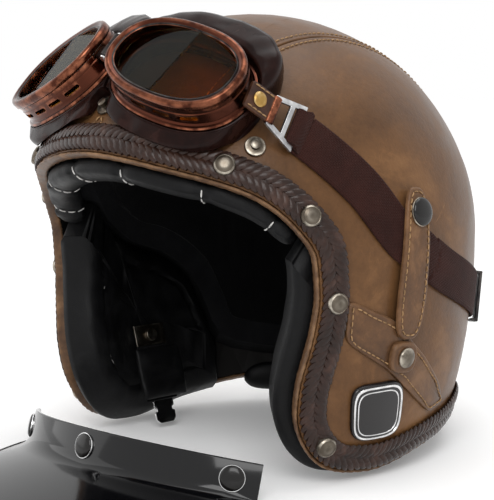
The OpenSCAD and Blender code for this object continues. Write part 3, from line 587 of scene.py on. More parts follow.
@dataclass(frozen=True)
class Leather(Finish):
    """Waxed or glazed hide with mottling, grain and rubbed edges."""

    dark: Colour = (0.1, 0.1, 0.1)
    light: Colour = (0.5, 0.5, 0.5)
    cloud: float = 17.0
    grain: float = 900.0
    depth: float = 0.12 * MM
    wear: float = 0.5
    coat: float = 0.1

    def build(self) -> Material:
        """The finished material."""
        material, g, shader, at = self.start({"Coat Weight": self.coat, "Coat Roughness": 0.3})
        hide = self.group(g, EFFECTS.mottle, Vector=at, Dark=(*self.dark, 1), Scale=self.cloud,
                          Middle=(*self.colour, 1), Light=(*self.light, 1))
        worn = self.group(g, EFFECTS.wear, Vector=at, Amount=self.wear).outputs["Mask"]
        g.feed(shader.inputs["Base Color"], g.mix(worn, hide.outputs["Color"], (*self.light, 1)))
        g.feed(shader.inputs["Roughness"], g.ramp(hide.outputs["Stain"], 0, 1, (
            self.roughness, max(0.1, self.roughness - 0.14))))
        self.bump(g, shader, self.group(g, EFFECTS.grain, Vector=at, Scale=self.grain).outputs[0],
                  self.depth)
        return material


@dataclass(frozen=True)
class Cloth(Finish):
    """Woven or brushed cloth; on_map follows the piece's own surface map."""

    threads: float = 1200.0
    depth: float = 0.15 * MM
    sheen: float = 0.3
    on_map: bool = False

    def build(self) -> Material:
        """The finished material."""
        material, g, shader, at = self.start({"Sheen Weight": self.sheen, "Sheen Roughness": 0.5})
        where = g.node("ShaderNodeTexCoord").outputs["UV"] if self.on_map else at
        weave = self.group(g, EFFECTS.weave, Vector=where, Warp=self.threads, Weft=self.threads)
        fade = g.ramp(g.noise(at, 60, 5), 0.35, 0.7, (0.72, 1.18))
        tone = g.node("ShaderNodeVectorMath", {0: self.colour, "Scale": fade}, operation="SCALE")
        # painted shade: the gaps between threads are darkened to about a third of the cloth's
        # colour
        dark = tuple(c * 0.35 for c in self.colour)
        colour = g.mix(weave.outputs["Gap"], tone.outputs[0], (*dark, 1))
        g.feed(shader.inputs["Base Color"], colour)
        fuzz = g.times(g.noise(at, 1500, 3), 0.5)
        self.bump(g, shader, g.plus(weave.outputs["Height"], fuzz), self.depth)
        return material


@dataclass(frozen=True)
class Metal(Finish):
    """Plated or cast metal, darkened in places and brighter at its sharp edges: rubbed wear, and on
    the copper cups also a painted highlight.
    """

    tarnish: Colour = (0.05, 0.05, 0.05)
    bright: Colour = (0.8, 0.8, 0.8)
    patina: float = 0.4
    wear: float = 0.8
    pits: float = 0.02 * MM
    spots: float = 140

    def build(self) -> Material:
        """The finished material."""
        material, g, shader, at = self.start({"Metallic": 1.0})
        blotch = g.times(g.ramp(g.noise(at, self.spots, 6, 0.65), 0.42, 0.68), self.patina)
        worn = self.group(g, EFFECTS.wear, Vector=at, Amount=self.wear).outputs["Mask"]
        base = g.mix(blotch, (*self.colour, 1), (*self.tarnish, 1))
        # sharp edges take the bright colour: rubbed wear, and on the copper a painted highlight as
        # well
        g.feed(shader.inputs["Base Color"], g.mix(worn, base, (*self.bright, 1)))
        g.feed(shader.inputs["Roughness"], g.ramp(blotch, 0, 1, (
            self.roughness, min(0.8, self.roughness + 0.3))))
        self.bump(g, shader, g.noise(at, 700, 5), self.pits)
        return material


@dataclass(frozen=True)
class Plastic(Finish):
    """Moulded or lacquered stock with a faint orange peel and settled dust."""

    coat: float = 0.0
    peel: float = 0.02 * MM
    dust: bool = True

    def build(self) -> Material:
        """The finished material."""
        material, g, shader, at = self.start({"Coat Weight": self.coat, "Coat Roughness": 0.04})
        pale = tuple(min(1.0, c + 0.25) for c in self.colour)
        mask = self.group(g, EFFECTS.dust, Vector=at).outputs[0] if self.dust else 0.0
        g.feed(shader.inputs["Base Color"], g.mix(mask, (*self.colour, 1), (*pale, 1)))
        g.feed(shader.inputs["Roughness"], g.ramp(g.noise(at, 90, 5), 0.3, 0.7, (
            self.roughness * 0.85, self.roughness * 1.2)))
        self.bump(g, shader, g.noise(at, 900, 3), self.peel)
        return material


@dataclass(frozen=True)
class Glass(Finish):
    """A tinted pane, a little deeper in tint here and there."""

    def build(self) -> Material:
        """The finished material."""
        material, g, shader, at = self.start({"Transmission Weight": 1.0, "IOR": 1.18})
        deep = tuple(c * 0.8 for c in self.colour)
        g.feed(shader.inputs["Base Color"], g.mix(g.ramp(g.noise(at, 35, 3), 0.35, 0.7), (
            *self.colour, 1), (*deep, 1)))
        return material


@dataclass(frozen=True)
class Thread(Finish):
    """Twisted sewing thread."""

    def build(self) -> Material:
        """The finished material."""
        material, g, shader, at = self.start()
        soiled = tuple(c * 0.6 for c in self.colour)
        g.feed(shader.inputs["Base Color"], g.mix(g.ramp(g.noise(at, 350, 3), 0.4, 0.65),
                                                  (*self.colour, 1), (*soiled, 1)))
        self.bump(g, shader, g.noise(at, 2500, 2), 0.1 * MM)
        return material


class Finishes:
    """Every finish of the helmet, built once."""

    def __init__(self) -> None:
        """Builds the materials."""
        self.cover = Leather("cover_leather", rgb(108, 75, 46), 0.46, 0.14, dark=rgb(80, 54, 32),
                             light=rgb(140, 102, 66)).build()
        self.binding = Leather("binding_leather", rgb(112, 82, 56), 0.5, dark=rgb(70, 48, 33),
                               light=rgb(150, 116, 84), cloud=60).build()
        self.braid = Leather("braid_leather", rgb(54, 35, 28), 0.32, 0.2, dark=rgb(34, 21, 16),
                             light=rgb(84, 60, 50), cloud=90, wear=0, coat=0.12).build()
        self.tab = Leather("tab_leather", rgb(108, 76, 49), 0.48, dark=rgb(76, 52, 34),
                           light=rgb(142, 106, 74), cloud=40).build()
        self.strap = Leather("end_tab_leather", rgb(62, 37, 26), 0.42, dark=rgb(36, 20, 14),
                             light=rgb(100, 66, 46), cloud=50).build()
        self.vinyl = Leather("cushion_vinyl", rgb(36, 17, 13), 0.28, 0.07, dark=rgb(20, 10, 9),
                             light=rgb(58, 35, 30), cloud=50, grain=1400, depth=0.04 * MM,
                             wear=0.2, coat=0.04).build()
        self.leatherette = Leather("pad_leatherette", rgb(15, 15, 16), 0.55, 0.15,
                                   dark=rgb(8, 8, 9), light=rgb(30, 30, 31), cloud=60,
                                   grain=1300, wear=0.2, coat=0).build()
        self.elastic = Cloth("strap_elastic", rgb(52, 26, 21), 0.8, 0.1, threads=900,
                             depth=0.25 * MM, sheen=0.03, on_map=True).build()
        self.webbing = Cloth("webbing", rgb(20, 20, 22), 0.8, 0.1, threads=700,
                             depth=0.3 * MM, sheen=0.05, on_map=True).build()
        self.pad_cloth = Cloth("pad_cloth", rgb(13, 13, 14), 0.9, 0.1, threads=1000,
                               depth=0.1 * MM, sheen=0.03).build()
        self.shell = Plastic("shell_plastic", rgb(30, 28, 27), 0.55).build()
        self.foam = Plastic("liner_foam", rgb(20, 20, 22), 0.9, peel=0.3 * MM).build()
        self.gloss = Plastic("peak_plastic", rgb(9, 9, 11), 0.1, 0.3, coat=0.1,
                             peel=0.004 * MM, dust=False).build()
        self.nylon = Plastic("buckle_nylon", rgb(20, 20, 22), 0.4, peel=0.05 * MM).build()
        self.red = Plastic("lever_nylon", rgb(150, 24, 20), 0.4, peel=0.05 * MM).build()
        self.enamel = Plastic("badge_enamel", rgb(18, 15, 16), 0.2, 0.4, coat=0.15).build()
        self.lacquer = Plastic("black_lacquer", rgb(16, 14, 13), 0.16, 0.3, coat=0.1,
                               dust=False).build()
        self.black = Metal("black_metal", rgb(34, 32, 33), 0.32, tarnish=rgb(22, 21, 22),
                           bright=rgb(100, 96, 92), patina=0.3, wear=0.4).build()
        self.nickel = Metal("antique_nickel", rgb(96, 88, 78), 0.3, tarnish=rgb(40, 34, 28),
                            bright=rgb(196, 188, 174)).build()
        self.chrome = Metal("bright_ring", rgb(214, 214, 214), 0.12,
                            tarnish=rgb(120, 120, 120), bright=rgb(245, 245, 245),
                            patina=0.15).build()
        self.alloy = Metal("hook_alloy", rgb(168, 168, 170), 0.34, tarnish=rgb(110, 108, 106),
                           bright=rgb(235, 235, 235), patina=0.3, pits=0.06 * MM).build()
        # the copper's bright edge colour is partly rubbed wear and partly a painted highlight
        self.copper = Metal("cup_copper", rgb(76, 41, 30), 0.17, tarnish=rgb(38, 21, 16),
                            bright=rgb(196, 124, 92), patina=0.5, wear=0.5, spots=24).build()
        self.brass = Metal("rivet_brass", rgb(166, 132, 74), 0.3, tarnish=rgb(90, 66, 36),
                           bright=rgb(230, 204, 150)).build()
        # painted shade: the inner panes are the same amber lens as the outer ones, tinted
        # grey-olive to paint the darker, reflecting look that they show
        self.smoke = Glass("lens_smoke", rgb(140, 134, 100), 0.0, 0.2).build()
        self.amber = Glass("lens_amber", rgb(222, 164, 50), 0.0, 0.2).build()
        self.tan_thread = Thread("tan_thread", rgb(164, 130, 92), 0.6).build()
        self.white_thread = Thread("white_thread", rgb(222, 220, 216), 0.6).build()


FINISH = Finishes()


# ---- Rows of small parts ----
@dataclass
class Places:
    """Where copies of a small part stand: points, their X along a line and their Z out."""

    points: Array
    along: Array
    out: Array

    def on(self, side: Side) -> "Places":
        """These left-hand places taken to a side."""
        return Places(side.put(self.points), side.put(self.along), side.put(self.out))

    @staticmethod
    def join(parts: Sequence["Places"]) -> "Places":
        """Several sets of places as one."""
        return Places(*(np.concatenate([getattr(p, n) for p in parts])
                        for n in ("points", "along", "out")))

    @staticmethod
    def both(left: "Places") -> "Places":
        """Left-hand places and their mirror images."""
        return Places.join([left.on(Side.LEFT), left.on(Side.RIGHT)])

    @staticmethod
    def row(points: Array, out: Array, pitch: float) -> "Places":
        """Even places along a line of points with outward directions."""
        at, along, where = resample(points, pitch)
        numbers = np.arange(len(points))
        up = np.stack([np.interp(where, numbers, out[:, i]) for i in range(3)], -1)
        return Places(at, along, unit(up))

    @staticmethod
    def on_form(dirs: Array, depth: float, pitch: float) -> "Places":
        """Even places along a line of directions over the form."""
        return Places.row(FORM.skin(dirs, depth), FORM.normal(dirs), pitch)


class Repeater:
    """Lays copies of one small part at places, with Geometry Nodes."""

    def __init__(self) -> None:
        """Builds the node tree."""
        tree = bpy.data.node_groups.new("lay_in_rows", "GeometryNodeTree")
        sockets = (("Places", "Geometry"), ("Part", "Object"), ("Size Spread", "Float"),
                   ("Turn Spread", "Float"), ("Seed", "Int"), ("Finish", "Material"))
        for label, kind in sockets:
            tree.interface.new_socket(label, in_out="INPUT", socket_type=f"NodeSocket{kind}")
        tree.interface.new_socket("Row", in_out="OUTPUT", socket_type="NodeSocketGeometry")
        g = Graph(tree)
        i = {s.name: s for s in g.node("NodeGroupInput").outputs if s.name}
        named = [g.node("GeometryNodeInputNamedAttribute", {"Name": n}, data_type="FLOAT_VECTOR")
                 .outputs[0] for n in ("along", "out")]
        turned = g.node("FunctionNodeAxesToRotation", {0: named[0], 1: named[1]},
                        primary_axis="X", secondary_axis="Z").outputs[0]
        part = g.node("GeometryNodeObjectInfo", {"Object": i["Part"], "As Instance": True})
        spread = self._random(g, i["Seed"], i["Size Spread"])
        copies = g.node("GeometryNodeInstanceOnPoints", {
            "Points": i["Places"], "Instance": part.outputs["Geometry"], "Rotation": turned,
            "Scale": g.plus(spread, 1.0)})
        rock = g.node("ShaderNodeCombineXYZ", {2: self._random(
            g, g.plus(i["Seed"], 7.0), i["Turn Spread"])})
        rocked = g.node("GeometryNodeRotateInstances", {
            "Instances": copies.outputs[0], "Rotation": rock.outputs[0], "Local Space": True})
        real = g.node("GeometryNodeRealizeInstances", {0: rocked.outputs[0]})
        dressed = g.node("GeometryNodeSetMaterial", {"Geometry": real.outputs[0],
                                                     "Material": i["Finish"]})
        g.node("NodeGroupOutput", {0: dressed.outputs[0]})
        self.tree = tree
        self.keys = {s.name: s.identifier for s in tree.interface.items_tree
                     if s.in_out == "INPUT"}

    @staticmethod
    def _random(g: Graph, seed: object, spread: object) -> NodeSocket:
        """A random value from minus half to plus half of a spread."""
        half = g.times(spread, 0.5)
        return g.node("FunctionNodeRandomValue", {"Min": g.times(half, -1.0),
                                                  "Max": half, "Seed": seed},
                      data_type="FLOAT").outputs[1]

    def lay(self, name: str, part: Array, places: Places, finish: Material,
            size_spread: float = 0.0, turn_spread: float = 0.0, seed: int = 1,
            sharp: float = 45.0) -> Object:
        """Makes one piece of many copies.

        Args:
            name: the piece's name.
            part: rings of the small part, its X along the row and its Z out.
            places: where the copies stand.
            finish: their material.
            size_spread: spread of their sizes, as a share.
            turn_spread: spread of their turns about Z, in radians.
            seed: fixes the random draws.
            sharp: edges of the part that turn by more degrees than this stay sharp.
        Returns:
            The piece as a plain mesh.
        """
        item = solid(name + "_part", part, finish, sharp=sharp)
        mesh = bpy.data.meshes.new(name)
        mesh.from_pydata(places.points.tolist(), [], [])
        for label, values in (("along", places.along), ("out", places.out)):
            mesh.attributes.new(label, "FLOAT_VECTOR", "POINT").data.foreach_set(
                "vector", np.asarray(values, np.float32).ravel())
        carrier = show(name + "_row", mesh)
        modifier = carrier.modifiers.new("rows", "NODES")
        modifier.node_group = self.tree
        for label, value in (("Part", item), ("Size Spread", size_spread), ("Seed", seed),
                             ("Turn Spread", turn_spread), ("Finish", finish)):
            modifier[self.keys[label]] = value
        graph = bpy.context.evaluated_depsgraph_get()
        made = bpy.data.meshes.new_from_object(carrier.evaluated_get(graph))
        for spare in (carrier, item):
            bpy.data.objects.remove(spare)
        made.name = name
        return show(name, made)


REPEATER = Repeater()


def stitch(length: float, radius: float) -> Array:
    """Rings of one stitch: a short thread that dives at both ends."""
    rows = []
    for k, r in ((-0.5, 0.35), (-0.38, 0.85), (0.0, 1.0), (0.38, 0.85), (0.5, 0.35)):
        t = circle(6)
        z = radius * (0.9 - 3.2 * k * k)
        rows.append(np.stack([np.full(6, k * length), radius * r * np.cos(t),
                              z + radius * r * np.sin(t)], -1))
    return np.array(rows)


TAN_STITCH = stitch(2.9 * MM, 0.42 * MM)
WHITE_STITCH = stitch(4.4 * MM, 0.42 * MM)
STITCH_PITCH = 3.7 * MM


def settle(piece: Object, body: str, stands_for: Sequence[str] = ()) -> Object:
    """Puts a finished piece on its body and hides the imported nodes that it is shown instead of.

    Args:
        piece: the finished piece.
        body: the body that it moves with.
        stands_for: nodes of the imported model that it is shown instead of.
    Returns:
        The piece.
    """
    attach(piece, body)
    if stands_for:
        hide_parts(*stands_for)
    LOG.info("%s rides on %s", piece.name, body)
    return piece


def refined(node: str, finish: Material, body: str, bevel: float,
            name: Optional[str] = None) -> Object:
    """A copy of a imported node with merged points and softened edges, shown instead of it.

    Args:
        node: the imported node.
        finish: its material.
        body: the body that it moves with.
        bevel: width of the softened edges.
        name: the piece's name, by default the node's with _worn.
    Returns:
        The piece.
    """
    mesh = frame["nodes"][node].data.copy()
    work = bmesh.new()
    work.from_mesh(mesh)
    bmesh.ops.remove_doubles(work, verts=work.verts, dist=5e-6)
    bmesh.ops.dissolve_limit(work, angle_limit=math.radians(1.0), verts=work.verts,
                             edges=work.edges)
    work.to_mesh(mesh)
    work.free()
    mesh.materials.clear()
    mesh.materials.append(finish)
    piece = show(name or node + "_worn", mesh)
    mesh.shade_smooth()
    mesh.set_sharp_from_angle(angle=math.radians(30))
    if bevel:
        soft = piece.modifiers.new("edges", "BEVEL")
        soft.width, soft.segments, soft.limit_method = bevel, 2, "ANGLE"
        soft.angle_limit = math.radians(30)
        soft.harden_normals = True
    return settle(piece, body, [node])


# ---- The leather cover ----
def slant(loop: Array, centre: Array) -> Array:
    """How squarely rays from the centre meet each point of a loop, from 0.3 to 1."""
    line, rays = FORM.skin(loop), FORM.skin(loop) - FORM.skin(centre)
    along = unit(np.roll(line, -1, 0) - np.roll(line, 1, 0))
    return np.clip(np.linalg.norm(np.cross(along, unit(rays)), axis=-1), 0.3, 1)


def inset(loop: Array, centre: Array, distance: float) -> Array:
    """A loop of directions drawn in toward its centre by a distance."""
    span = np.arccos(np.clip(loop @ centre, -1, 1)) * FORM.front_r
    return arc(centre[None], loop, (1 - distance / slant(loop, centre) / span)[:, None])


def edge_distance(dirs: Array, loop: Array) -> Array:
    """Distances on the form from directions to the nearest part of a loop."""
    at, line = FORM.skin(dirs).reshape(-1, 3), FORM.skin(loop)
    best = np.full(len(at), 1.0)
    for a, b in zip(line, np.roll(line, -1, 0)):
        ab = b - a
        k = np.clip((at - a) @ ab / max(ab @ ab, 1e-12), 0, 1)
        best = np.minimum(best, np.linalg.norm(at - a - k[:, None] * ab, axis=1))
    return best.reshape(dirs.shape[:-1])


def patch(loop: Array, centre: Array, near: Sequence[float], rings: int, outer: Depth,
          inner: Depth) -> Array:
    """Rings of a slab over the form, for solid().

    Args:
        loop: directions round the edge.
        centre: direction of the middle.
        near: distances from the edge that get a ring each, rising from 0.
        rings: further rings to the middle.
        outer: depth of the outer face from the distance to the edge and the direction.
        inner: depth of the inner face, likewise.
    Returns:
        Rings from the outer middle over the edge to the inner middle.
    """
    span = np.arccos(np.clip(loop @ centre, -1, 1)) * FORM.front_r
    away = np.array([np.minimum(d / slant(loop, centre), 0.6 * span) for d in near])
    rest = np.linspace(0, 1, rings + 1)[1:-1, None]
    away = np.concatenate([away, away[-1] + (span - away[-1]) * rest])
    dirs = arc(centre[None, None], loop[None], (1 - away / span)[..., None])
    far = edge_distance(dirs, loop)
    top, bottom = FORM.skin(dirs, outer(far, dirs)), FORM.skin(dirs, inner(far, dirs))
    return np.concatenate([top[::-1], bottom])


FINE_RINGS = [d * MM for d in (0, 0.25, 0.6, 1.1, 1.8, 2.7, 3.2, 3.6, 4.0, 4.6, 6, 9, 13)]


@dataclass
class Cover:
    """Three sewn leather panels, the side bands, the rolled binding, the badge and the studs."""

    crown_half: float = 56 * MM
    seam_gap: float = 0.6 * MM
    band_t: float = 1.4 * MM
    stitch_in: float = 3.6 * MM
    groove: float = 0.35 * MM
    waves: float = 0.45 * MM
    badge_w: float = 37 * MM
    badge_t: float = 2 * MM

    def crossing(self, x: float, low: float, high: float) -> float:
        """The turn at which the rim is x from the middle plane, between two turns."""
        rising = RIM.at(high)[0] > RIM.at(low)[0]
        for _ in range(40):
            mid = (low + high) / 2
            below = RIM.at(mid)[0] * FORM.half_w < x
            low, high = (mid, high) if below == rising else (low, mid)
        return (low + high) / 2

    def seam(self, k: Array, x: float) -> Array:
        """Directions along the line at x, from the brow rim (k = 0) to the nape rim (k = 1)."""
        c = math.sqrt(1 - (x / FORM.half_w) ** 2)
        ends = [RIM.at(self.crossing(x, *span)) for span in ((0, 0.1), (0.4, 0.5))]
        first = math.asin(ends[0][2] / c)
        last = math.pi - math.asin(ends[1][2] / c)
        a = first + (last - first) * np.asarray(k, float)
        return np.stack([np.full(a.shape, x / FORM.half_w), -c * np.cos(a), c * np.sin(a)], -1)

    def face(self, far: Array, dirs: Array) -> Array:
        """Depth of the hide: rolled edges, a groove under the stitches and slow waves."""
        sunk = rolled(LAYERS.leather * 0.7, 1.2 * MM)(far)
        sunk += self.groove * np.exp(-((far - self.stitch_in) / (0.7 * MM)) ** 2)
        inside = np.clip(far / (12 * MM), 0, 1)
        slack = (waviness(FORM.skin(dirs), 34 * MM, self.waves)
                 + waviness(FORM.skin(dirs), 9 * MM, self.waves * 0.3, 5.0))
        return sunk + inside * np.maximum(0, self.waves * 0.6 + slack)

    def panels(self) -> None:
        """The crown and side panels, with a double row of stitches along each seam."""
        gap = self.seam_gap / 2
        k = np.linspace(0, 1, 100)
        u0, u1 = (self.crossing(self.crown_half - gap, *s) for s in ((0, 0.1), (0.4, 0.5)))
        edge = self.seam(k, self.crown_half - gap)
        crown = np.concatenate([edge[:-1], RIM.at(np.linspace(u1, 1 - u1, 26))[:-1],
                                flip_x(edge)[::-1][:-1],
                                RIM.at(np.linspace(1 - u0, 1 + u0, 26))[:-1]])
        u0, u1 = (self.crossing(self.crown_half + gap, *s) for s in ((0, 0.1), (0.4, 0.5)))
        side = np.concatenate([self.seam(k, self.crown_half + gap)[::-1][:-1],
                               RIM.at(np.linspace(u0, u1, 150))[:-1]])
        for name, loop, centre, node in (
                ("crown_panel", crown, unit([0, 0.51, 1]), "leather_crown"),
                ("left_panel", side, side_dir(0.12, 0.1), "leather_left"),
                ("right_panel", flip_x(side), flip_x(side_dir(0.12, 0.1)), "leather_right")):
            rows = patch(loop, centre, FINE_RINGS, 20, self.face,
                         lambda far, dirs: np.full(far.shape, LAYERS.leather))
            settle(solid(name, rows, FINISH.cover), "helmet", [node])
        rows = [Places.on_form(self.seam(np.linspace(0.01, 0.99, 300), self.crown_half + off),
                               0.15 * MM, STITCH_PITCH) for off in (-3.4 * MM, 3.4 * MM)]
        ends = FORM.under(np.array([[5.5, -115, 183], [0.8, -115, 194]]) * MM)
        line = arc(ends[:1], ends[1:], np.linspace(0, 1, 30)[:, None])
        rows.append(Places.on_form(line, 0.1 * MM, STITCH_PITCH))
        piece = REPEATER.lay("seam_stitches", TAN_STITCH, Places.both(Places.join(rows)),
                             FINISH.tan_thread, 0.15, 0.12)
        settle(piece, "helmet")

    def bands(self) -> None:
        """The diagonal bands over the cheeks with stitched edges."""
        outline = [(-0.345, -0.1), (-0.12, -0.16), (0.08, -0.262), (0.22, -0.34), (0.3, -0.402),
                   (0.19, -0.42), (0.1, -0.385), (-0.13, -0.28), (-0.345, -0.2)]
        corners = np.array([side_dir(*q) for q in outline])
        k = np.linspace(0, 1, 14)[:-1, None]
        loop = np.concatenate([arc(a[None], b[None], k)
                               for a, b in zip(corners, np.roll(corners, -1, 0))])
        for _ in range(6):
            loop = unit(loop * 2 + np.roll(loop, 1, 0) + np.roll(loop, -1, 0))
        centre = side_dir(-0.03, -0.262)
        under = GAP
        edge = rolled(self.band_t * 0.8, 1.1 * MM)
        rows = patch(loop, centre, FINE_RINGS[:11], 4,
                     lambda far, dirs: edge(far) - under - self.band_t + self.groove * np.exp(
                         -((far - 2.7 * MM) / (0.6 * MM)) ** 2),
                     lambda far, dirs: np.full(far.shape, -under))
        line = inset(np.r_[loop, loop[:1]], centre, 2.7 * MM)
        sewn = Places.on_form(line, -under - self.band_t + 0.1 * MM, STITCH_PITCH)
        for side in Side:
            settle(solid(f"cheek_band_{side.value}", side.put(rows), FINISH.tab), "helmet",
                   [f"side_band_{side.value}"])
        settle(REPEATER.lay("band_stitches", TAN_STITCH, Places.both(sewn), FINISH.tan_thread,
                            0.15, 0.1, 3), "helmet")

    def binding(self) -> None:
        """The rolled leather edge round the face opening and the lower rim."""
        u = np.linspace(0, 1, 420, endpoint=False)[:, None]
        ring = squircle(1.02 * MM, 3.2 * MM, 2.6, 16)
        pucker = 1 + 0.07 * np.sin(u * 2 * math.pi * 150) * np.ones(16)
        points = RIM.beside(u + 0 * pucker, 1.2 * MM + ring[:, 0] * pucker,
                            2.7 * MM + ring[:, 1] * pucker)
        settle(solid("rolled_binding", points, FINISH.binding, wrap=True), "helmet",
               ["edge_binding"])

    def badge(self) -> None:
        """A plain black plate with a raised double border."""
        centre = side_dir(-0.15, -0.385)
        under, top = GAP, GAP + self.badge_t
        turn = math.radians(-6)

        def dirs(half: float, n: int = 96) -> Array:
            """Directions round the plate's outline at a half width."""
            q = squircle(half, half, 4, n)
            x = q[:, 0] * math.cos(turn) - q[:, 1] * math.sin(turn)
            y = q[:, 0] * math.sin(turn) + q[:, 1] * math.cos(turn)
            return FORM.under(FORM.skin(centre) + np.stack([0 * x, -x, y], -1))

        edge = rolled(self.badge_t * 0.7, 1.4 * MM)
        rows = patch(dirs(self.badge_w / 2), centre, FINE_RINGS[:11], 6,
                     lambda far, d: edge(far) - top, lambda far, d: np.full(far.shape, -under))
        settle(solid("badge_plate", rows, FINISH.enamel), "helmet", ["badge"])
        for number, (inset_by, wide) in enumerate(((2.0 * MM, 0.7 * MM), (4.4 * MM, 0.4 * MM))):
            rings = [FORM.skin(dirs(self.badge_w / 2 - inset_by + a), -top - b) for a, b in (
                (-wide, -0.2 * MM), (-wide * 0.8, 0.2 * MM), (0, 0.36 * MM), (wide * 0.8, 0.2 * MM),
                (wide, -0.2 * MM))]
            settle(solid(f"badge_border_{number + 1}", np.array(rings).transpose(1, 0, 2),
                         FINISH.chrome, wrap=True), "helmet")

    def studs(self) -> None:
        """Three snap studs for a visor."""
        dirs = np.array([BROW_STUD, SIDE_STUD, flip_x(SIDE_STUD)])
        profile = [(5.5, 0), (5.5, 0.6), (5.1, 1.1), (3.4, 1.25), (2.35, 1.5), (2.2, 2.6),
                   (2.6, 3.3), (2.55, 4.0), (1.9, 4.4), (0.6, 4.5)]
        settle(REPEATER.lay("snap_studs", turned(profile, 20),
                            fixed(dirs, GAP), FINISH.nickel), "helmet",
               ["visor_studs"])

    def build(self) -> None:
        """Makes the whole cover."""
        self.panels()
        self.bands()
        self.binding()
        self.badge()
        self.studs()


def fixed(dirs: Array, lift: float) -> Places:
    """Places standing on the form under directions, lifted off it."""
    out = FORM.normal(dirs)
    up = np.cross(np.array([0, 0, 1.0]), out)
    return Places(FORM.skin(dirs) + out * lift, unit(up), out)


@dataclass
class Braid:
    """The flat plait round the rim and the metal caps that hold it."""

    inner: float = 0.6 * MM
    width: float = 15 * MM
    thick: float = 3.2 * MM
    pitch: float = 4.1 * MM
    angle: float = 38.0
    rivet_turns: tuple[float, ...] = (0.062, 0.104, 0.166, 0.293)

    def strand(self, sign: float) -> Array:
        """Rings of one strand, which leans to a side, rises in its middle and dives at its ends."""
        turn = math.radians(self.angle) * sign
        t = circle(7)
        rows = []
        for k in np.linspace(-1, 1, 7):
            wide = 2.25 * MM * math.sqrt(1 - 0.8 * k ** 4)
            along = k * 5.9 * MM
            y, z = wide * np.cos(t), 1.0 * MM * np.sin(t) + (2.35 - 1.35 * k * k) * MM
            x = along * np.ones(7)
            rows.append(np.stack([x * math.cos(turn) - y * math.sin(turn),
                                  x * math.sin(turn) + y * math.cos(turn), z], -1))
        return np.array(rows)

    def build(self) -> None:
        """The plait's body, its strands and its rivets."""
        u = np.linspace(0, 1, 300, endpoint=False)[:, None]
        middle = -self.inner - self.width / 2
        ring = squircle(self.width / 2 - 0.9 * MM, 0.7 * MM, 3, 16)
        body = RIM.beside(u + 0 * ring[:, 0], middle + ring[:, 0],
                          -GAP - 0.7 * MM + ring[:, 1])
        settle(solid("plait_body", body, FINISH.braid, wrap=True), "helmet",
               ["braid_trim"])
        turns = np.linspace(0, 1, 1200)
        for number, sign in enumerate((1.0, -1.0)):
            line = RIM.beside(turns, middle + sign * self.width * 0.225)
            row = Places.row(line, FORM.normal(FORM.under(line)), self.pitch)
            if number:
                row = Places(row.points + row.along * self.pitch / 2, row.along, row.out)
            settle(REPEATER.lay(f"plait_strands_{number + 1}", self.strand(-sign), row,
                                FINISH.braid, 0.06, 0.08, 5 + number), "helmet")
        cap = [(5.6, -2.2), (5.6, 0.3), (5.3, 0.9), (4.6, 1.5), (4.3, 1.35), (3.6, 1.75),
               (2.2, 2.15), (0.7, 2.25)]
        rise = GAP * 2 + self.thick
        left = fixed(FORM.under(RIM.beside(np.array(self.rivet_turns), middle)), rise)
        settle(REPEATER.lay("plait_rivets", turned(cap, 24),
                            Places.both(left), FINISH.nickel, seed=2), "helmet",
               ["braid_rivets"])


# ---- Padding ----
@dataclass(frozen=True)
class Stuffing:
    """A cloth simulation that fills a stuffed piece between its seams."""

    moments: int = 20
    slack: float = 0.9 * MM
    limit: float = 2.4 * MM
    hold: float = 2.4 * MM

    def held(self, points: Array, sewn: Array) -> Array:
        """How firmly each point is held: fully at the seams and at the back of the piece."""
        back = np.linalg.norm(points - FORM.skin(FORM.under(points)), axis=1)
        gap = np.linalg.norm(points[:, None] - sewn[None], axis=2).min(1)
        return np.where(back < LAYERS.pad_top + 2 * MM, 1.0, np.exp(-(gap / self.hold) ** 2))

    @staticmethod
    def read(piece: Object, what: str) -> Array:
        """A vector of each vertex of a piece."""
        values = np.empty(3 * len(piece.data.vertices))
        piece.data.vertices.foreach_get(what, values)
        return values.reshape(-1, 3)

    def fill(self, piece: Object, sewn: Array, pressure: float) -> None:
        """Draws a piece in a little, then lets pressure swell it.

        Args:
            piece: the piece, whose mesh is changed.
            sewn: points along its seams.
            pressure: how hard it is filled; a narrow piece takes more.
        """
        vertices = piece.data.vertices
        points, out = self.read(piece, "co"), self.read(piece, "normal")
        held = self.held(points, sewn.reshape(-1, 3))
        start = points - out * (self.slack * (1 - held))[:, None]
        vertices.foreach_set("co", start.ravel())
        group = piece.vertex_groups.new(name="sewn")
        for number, weight in enumerate(held):
            group.add([number], float(weight), "REPLACE")
        cloth = piece.modifiers.new("stuffing", "CLOTH")
        cloth.settings.vertex_group_mass = group.name
        cloth.settings.use_pressure = True
        cloth.settings.uniform_pressure_force = pressure
        cloth.settings.effector_weights.gravity = 0
        cloth.collision_settings.use_collision = False
        for moment in range(1, self.moments + 1):
            bpy.context.scene.frame_set(moment)
        swollen = piece.evaluated_get(bpy.context.evaluated_depsgraph_get())
        after = self.read(swollen, "co")
        piece.modifiers.remove(cloth)
        piece.vertex_groups.remove(group)
        bpy.context.scene.frame_set(1)
        move = after - start
        far = np.maximum(np.linalg.norm(move, axis=1, keepdims=True), 1e-9)
        after = start + move * self.limit * np.tanh(far / self.limit) / far
        after[:, 2] = np.maximum(after[:, 2], 0)
        vertices.foreach_set("co", after.ravel())
        piece.data.update()
        LOG.info("%s swelled by up to %.1f mm", piece.name, 1000 * float(far.max()))


STUFFING = Stuffing()


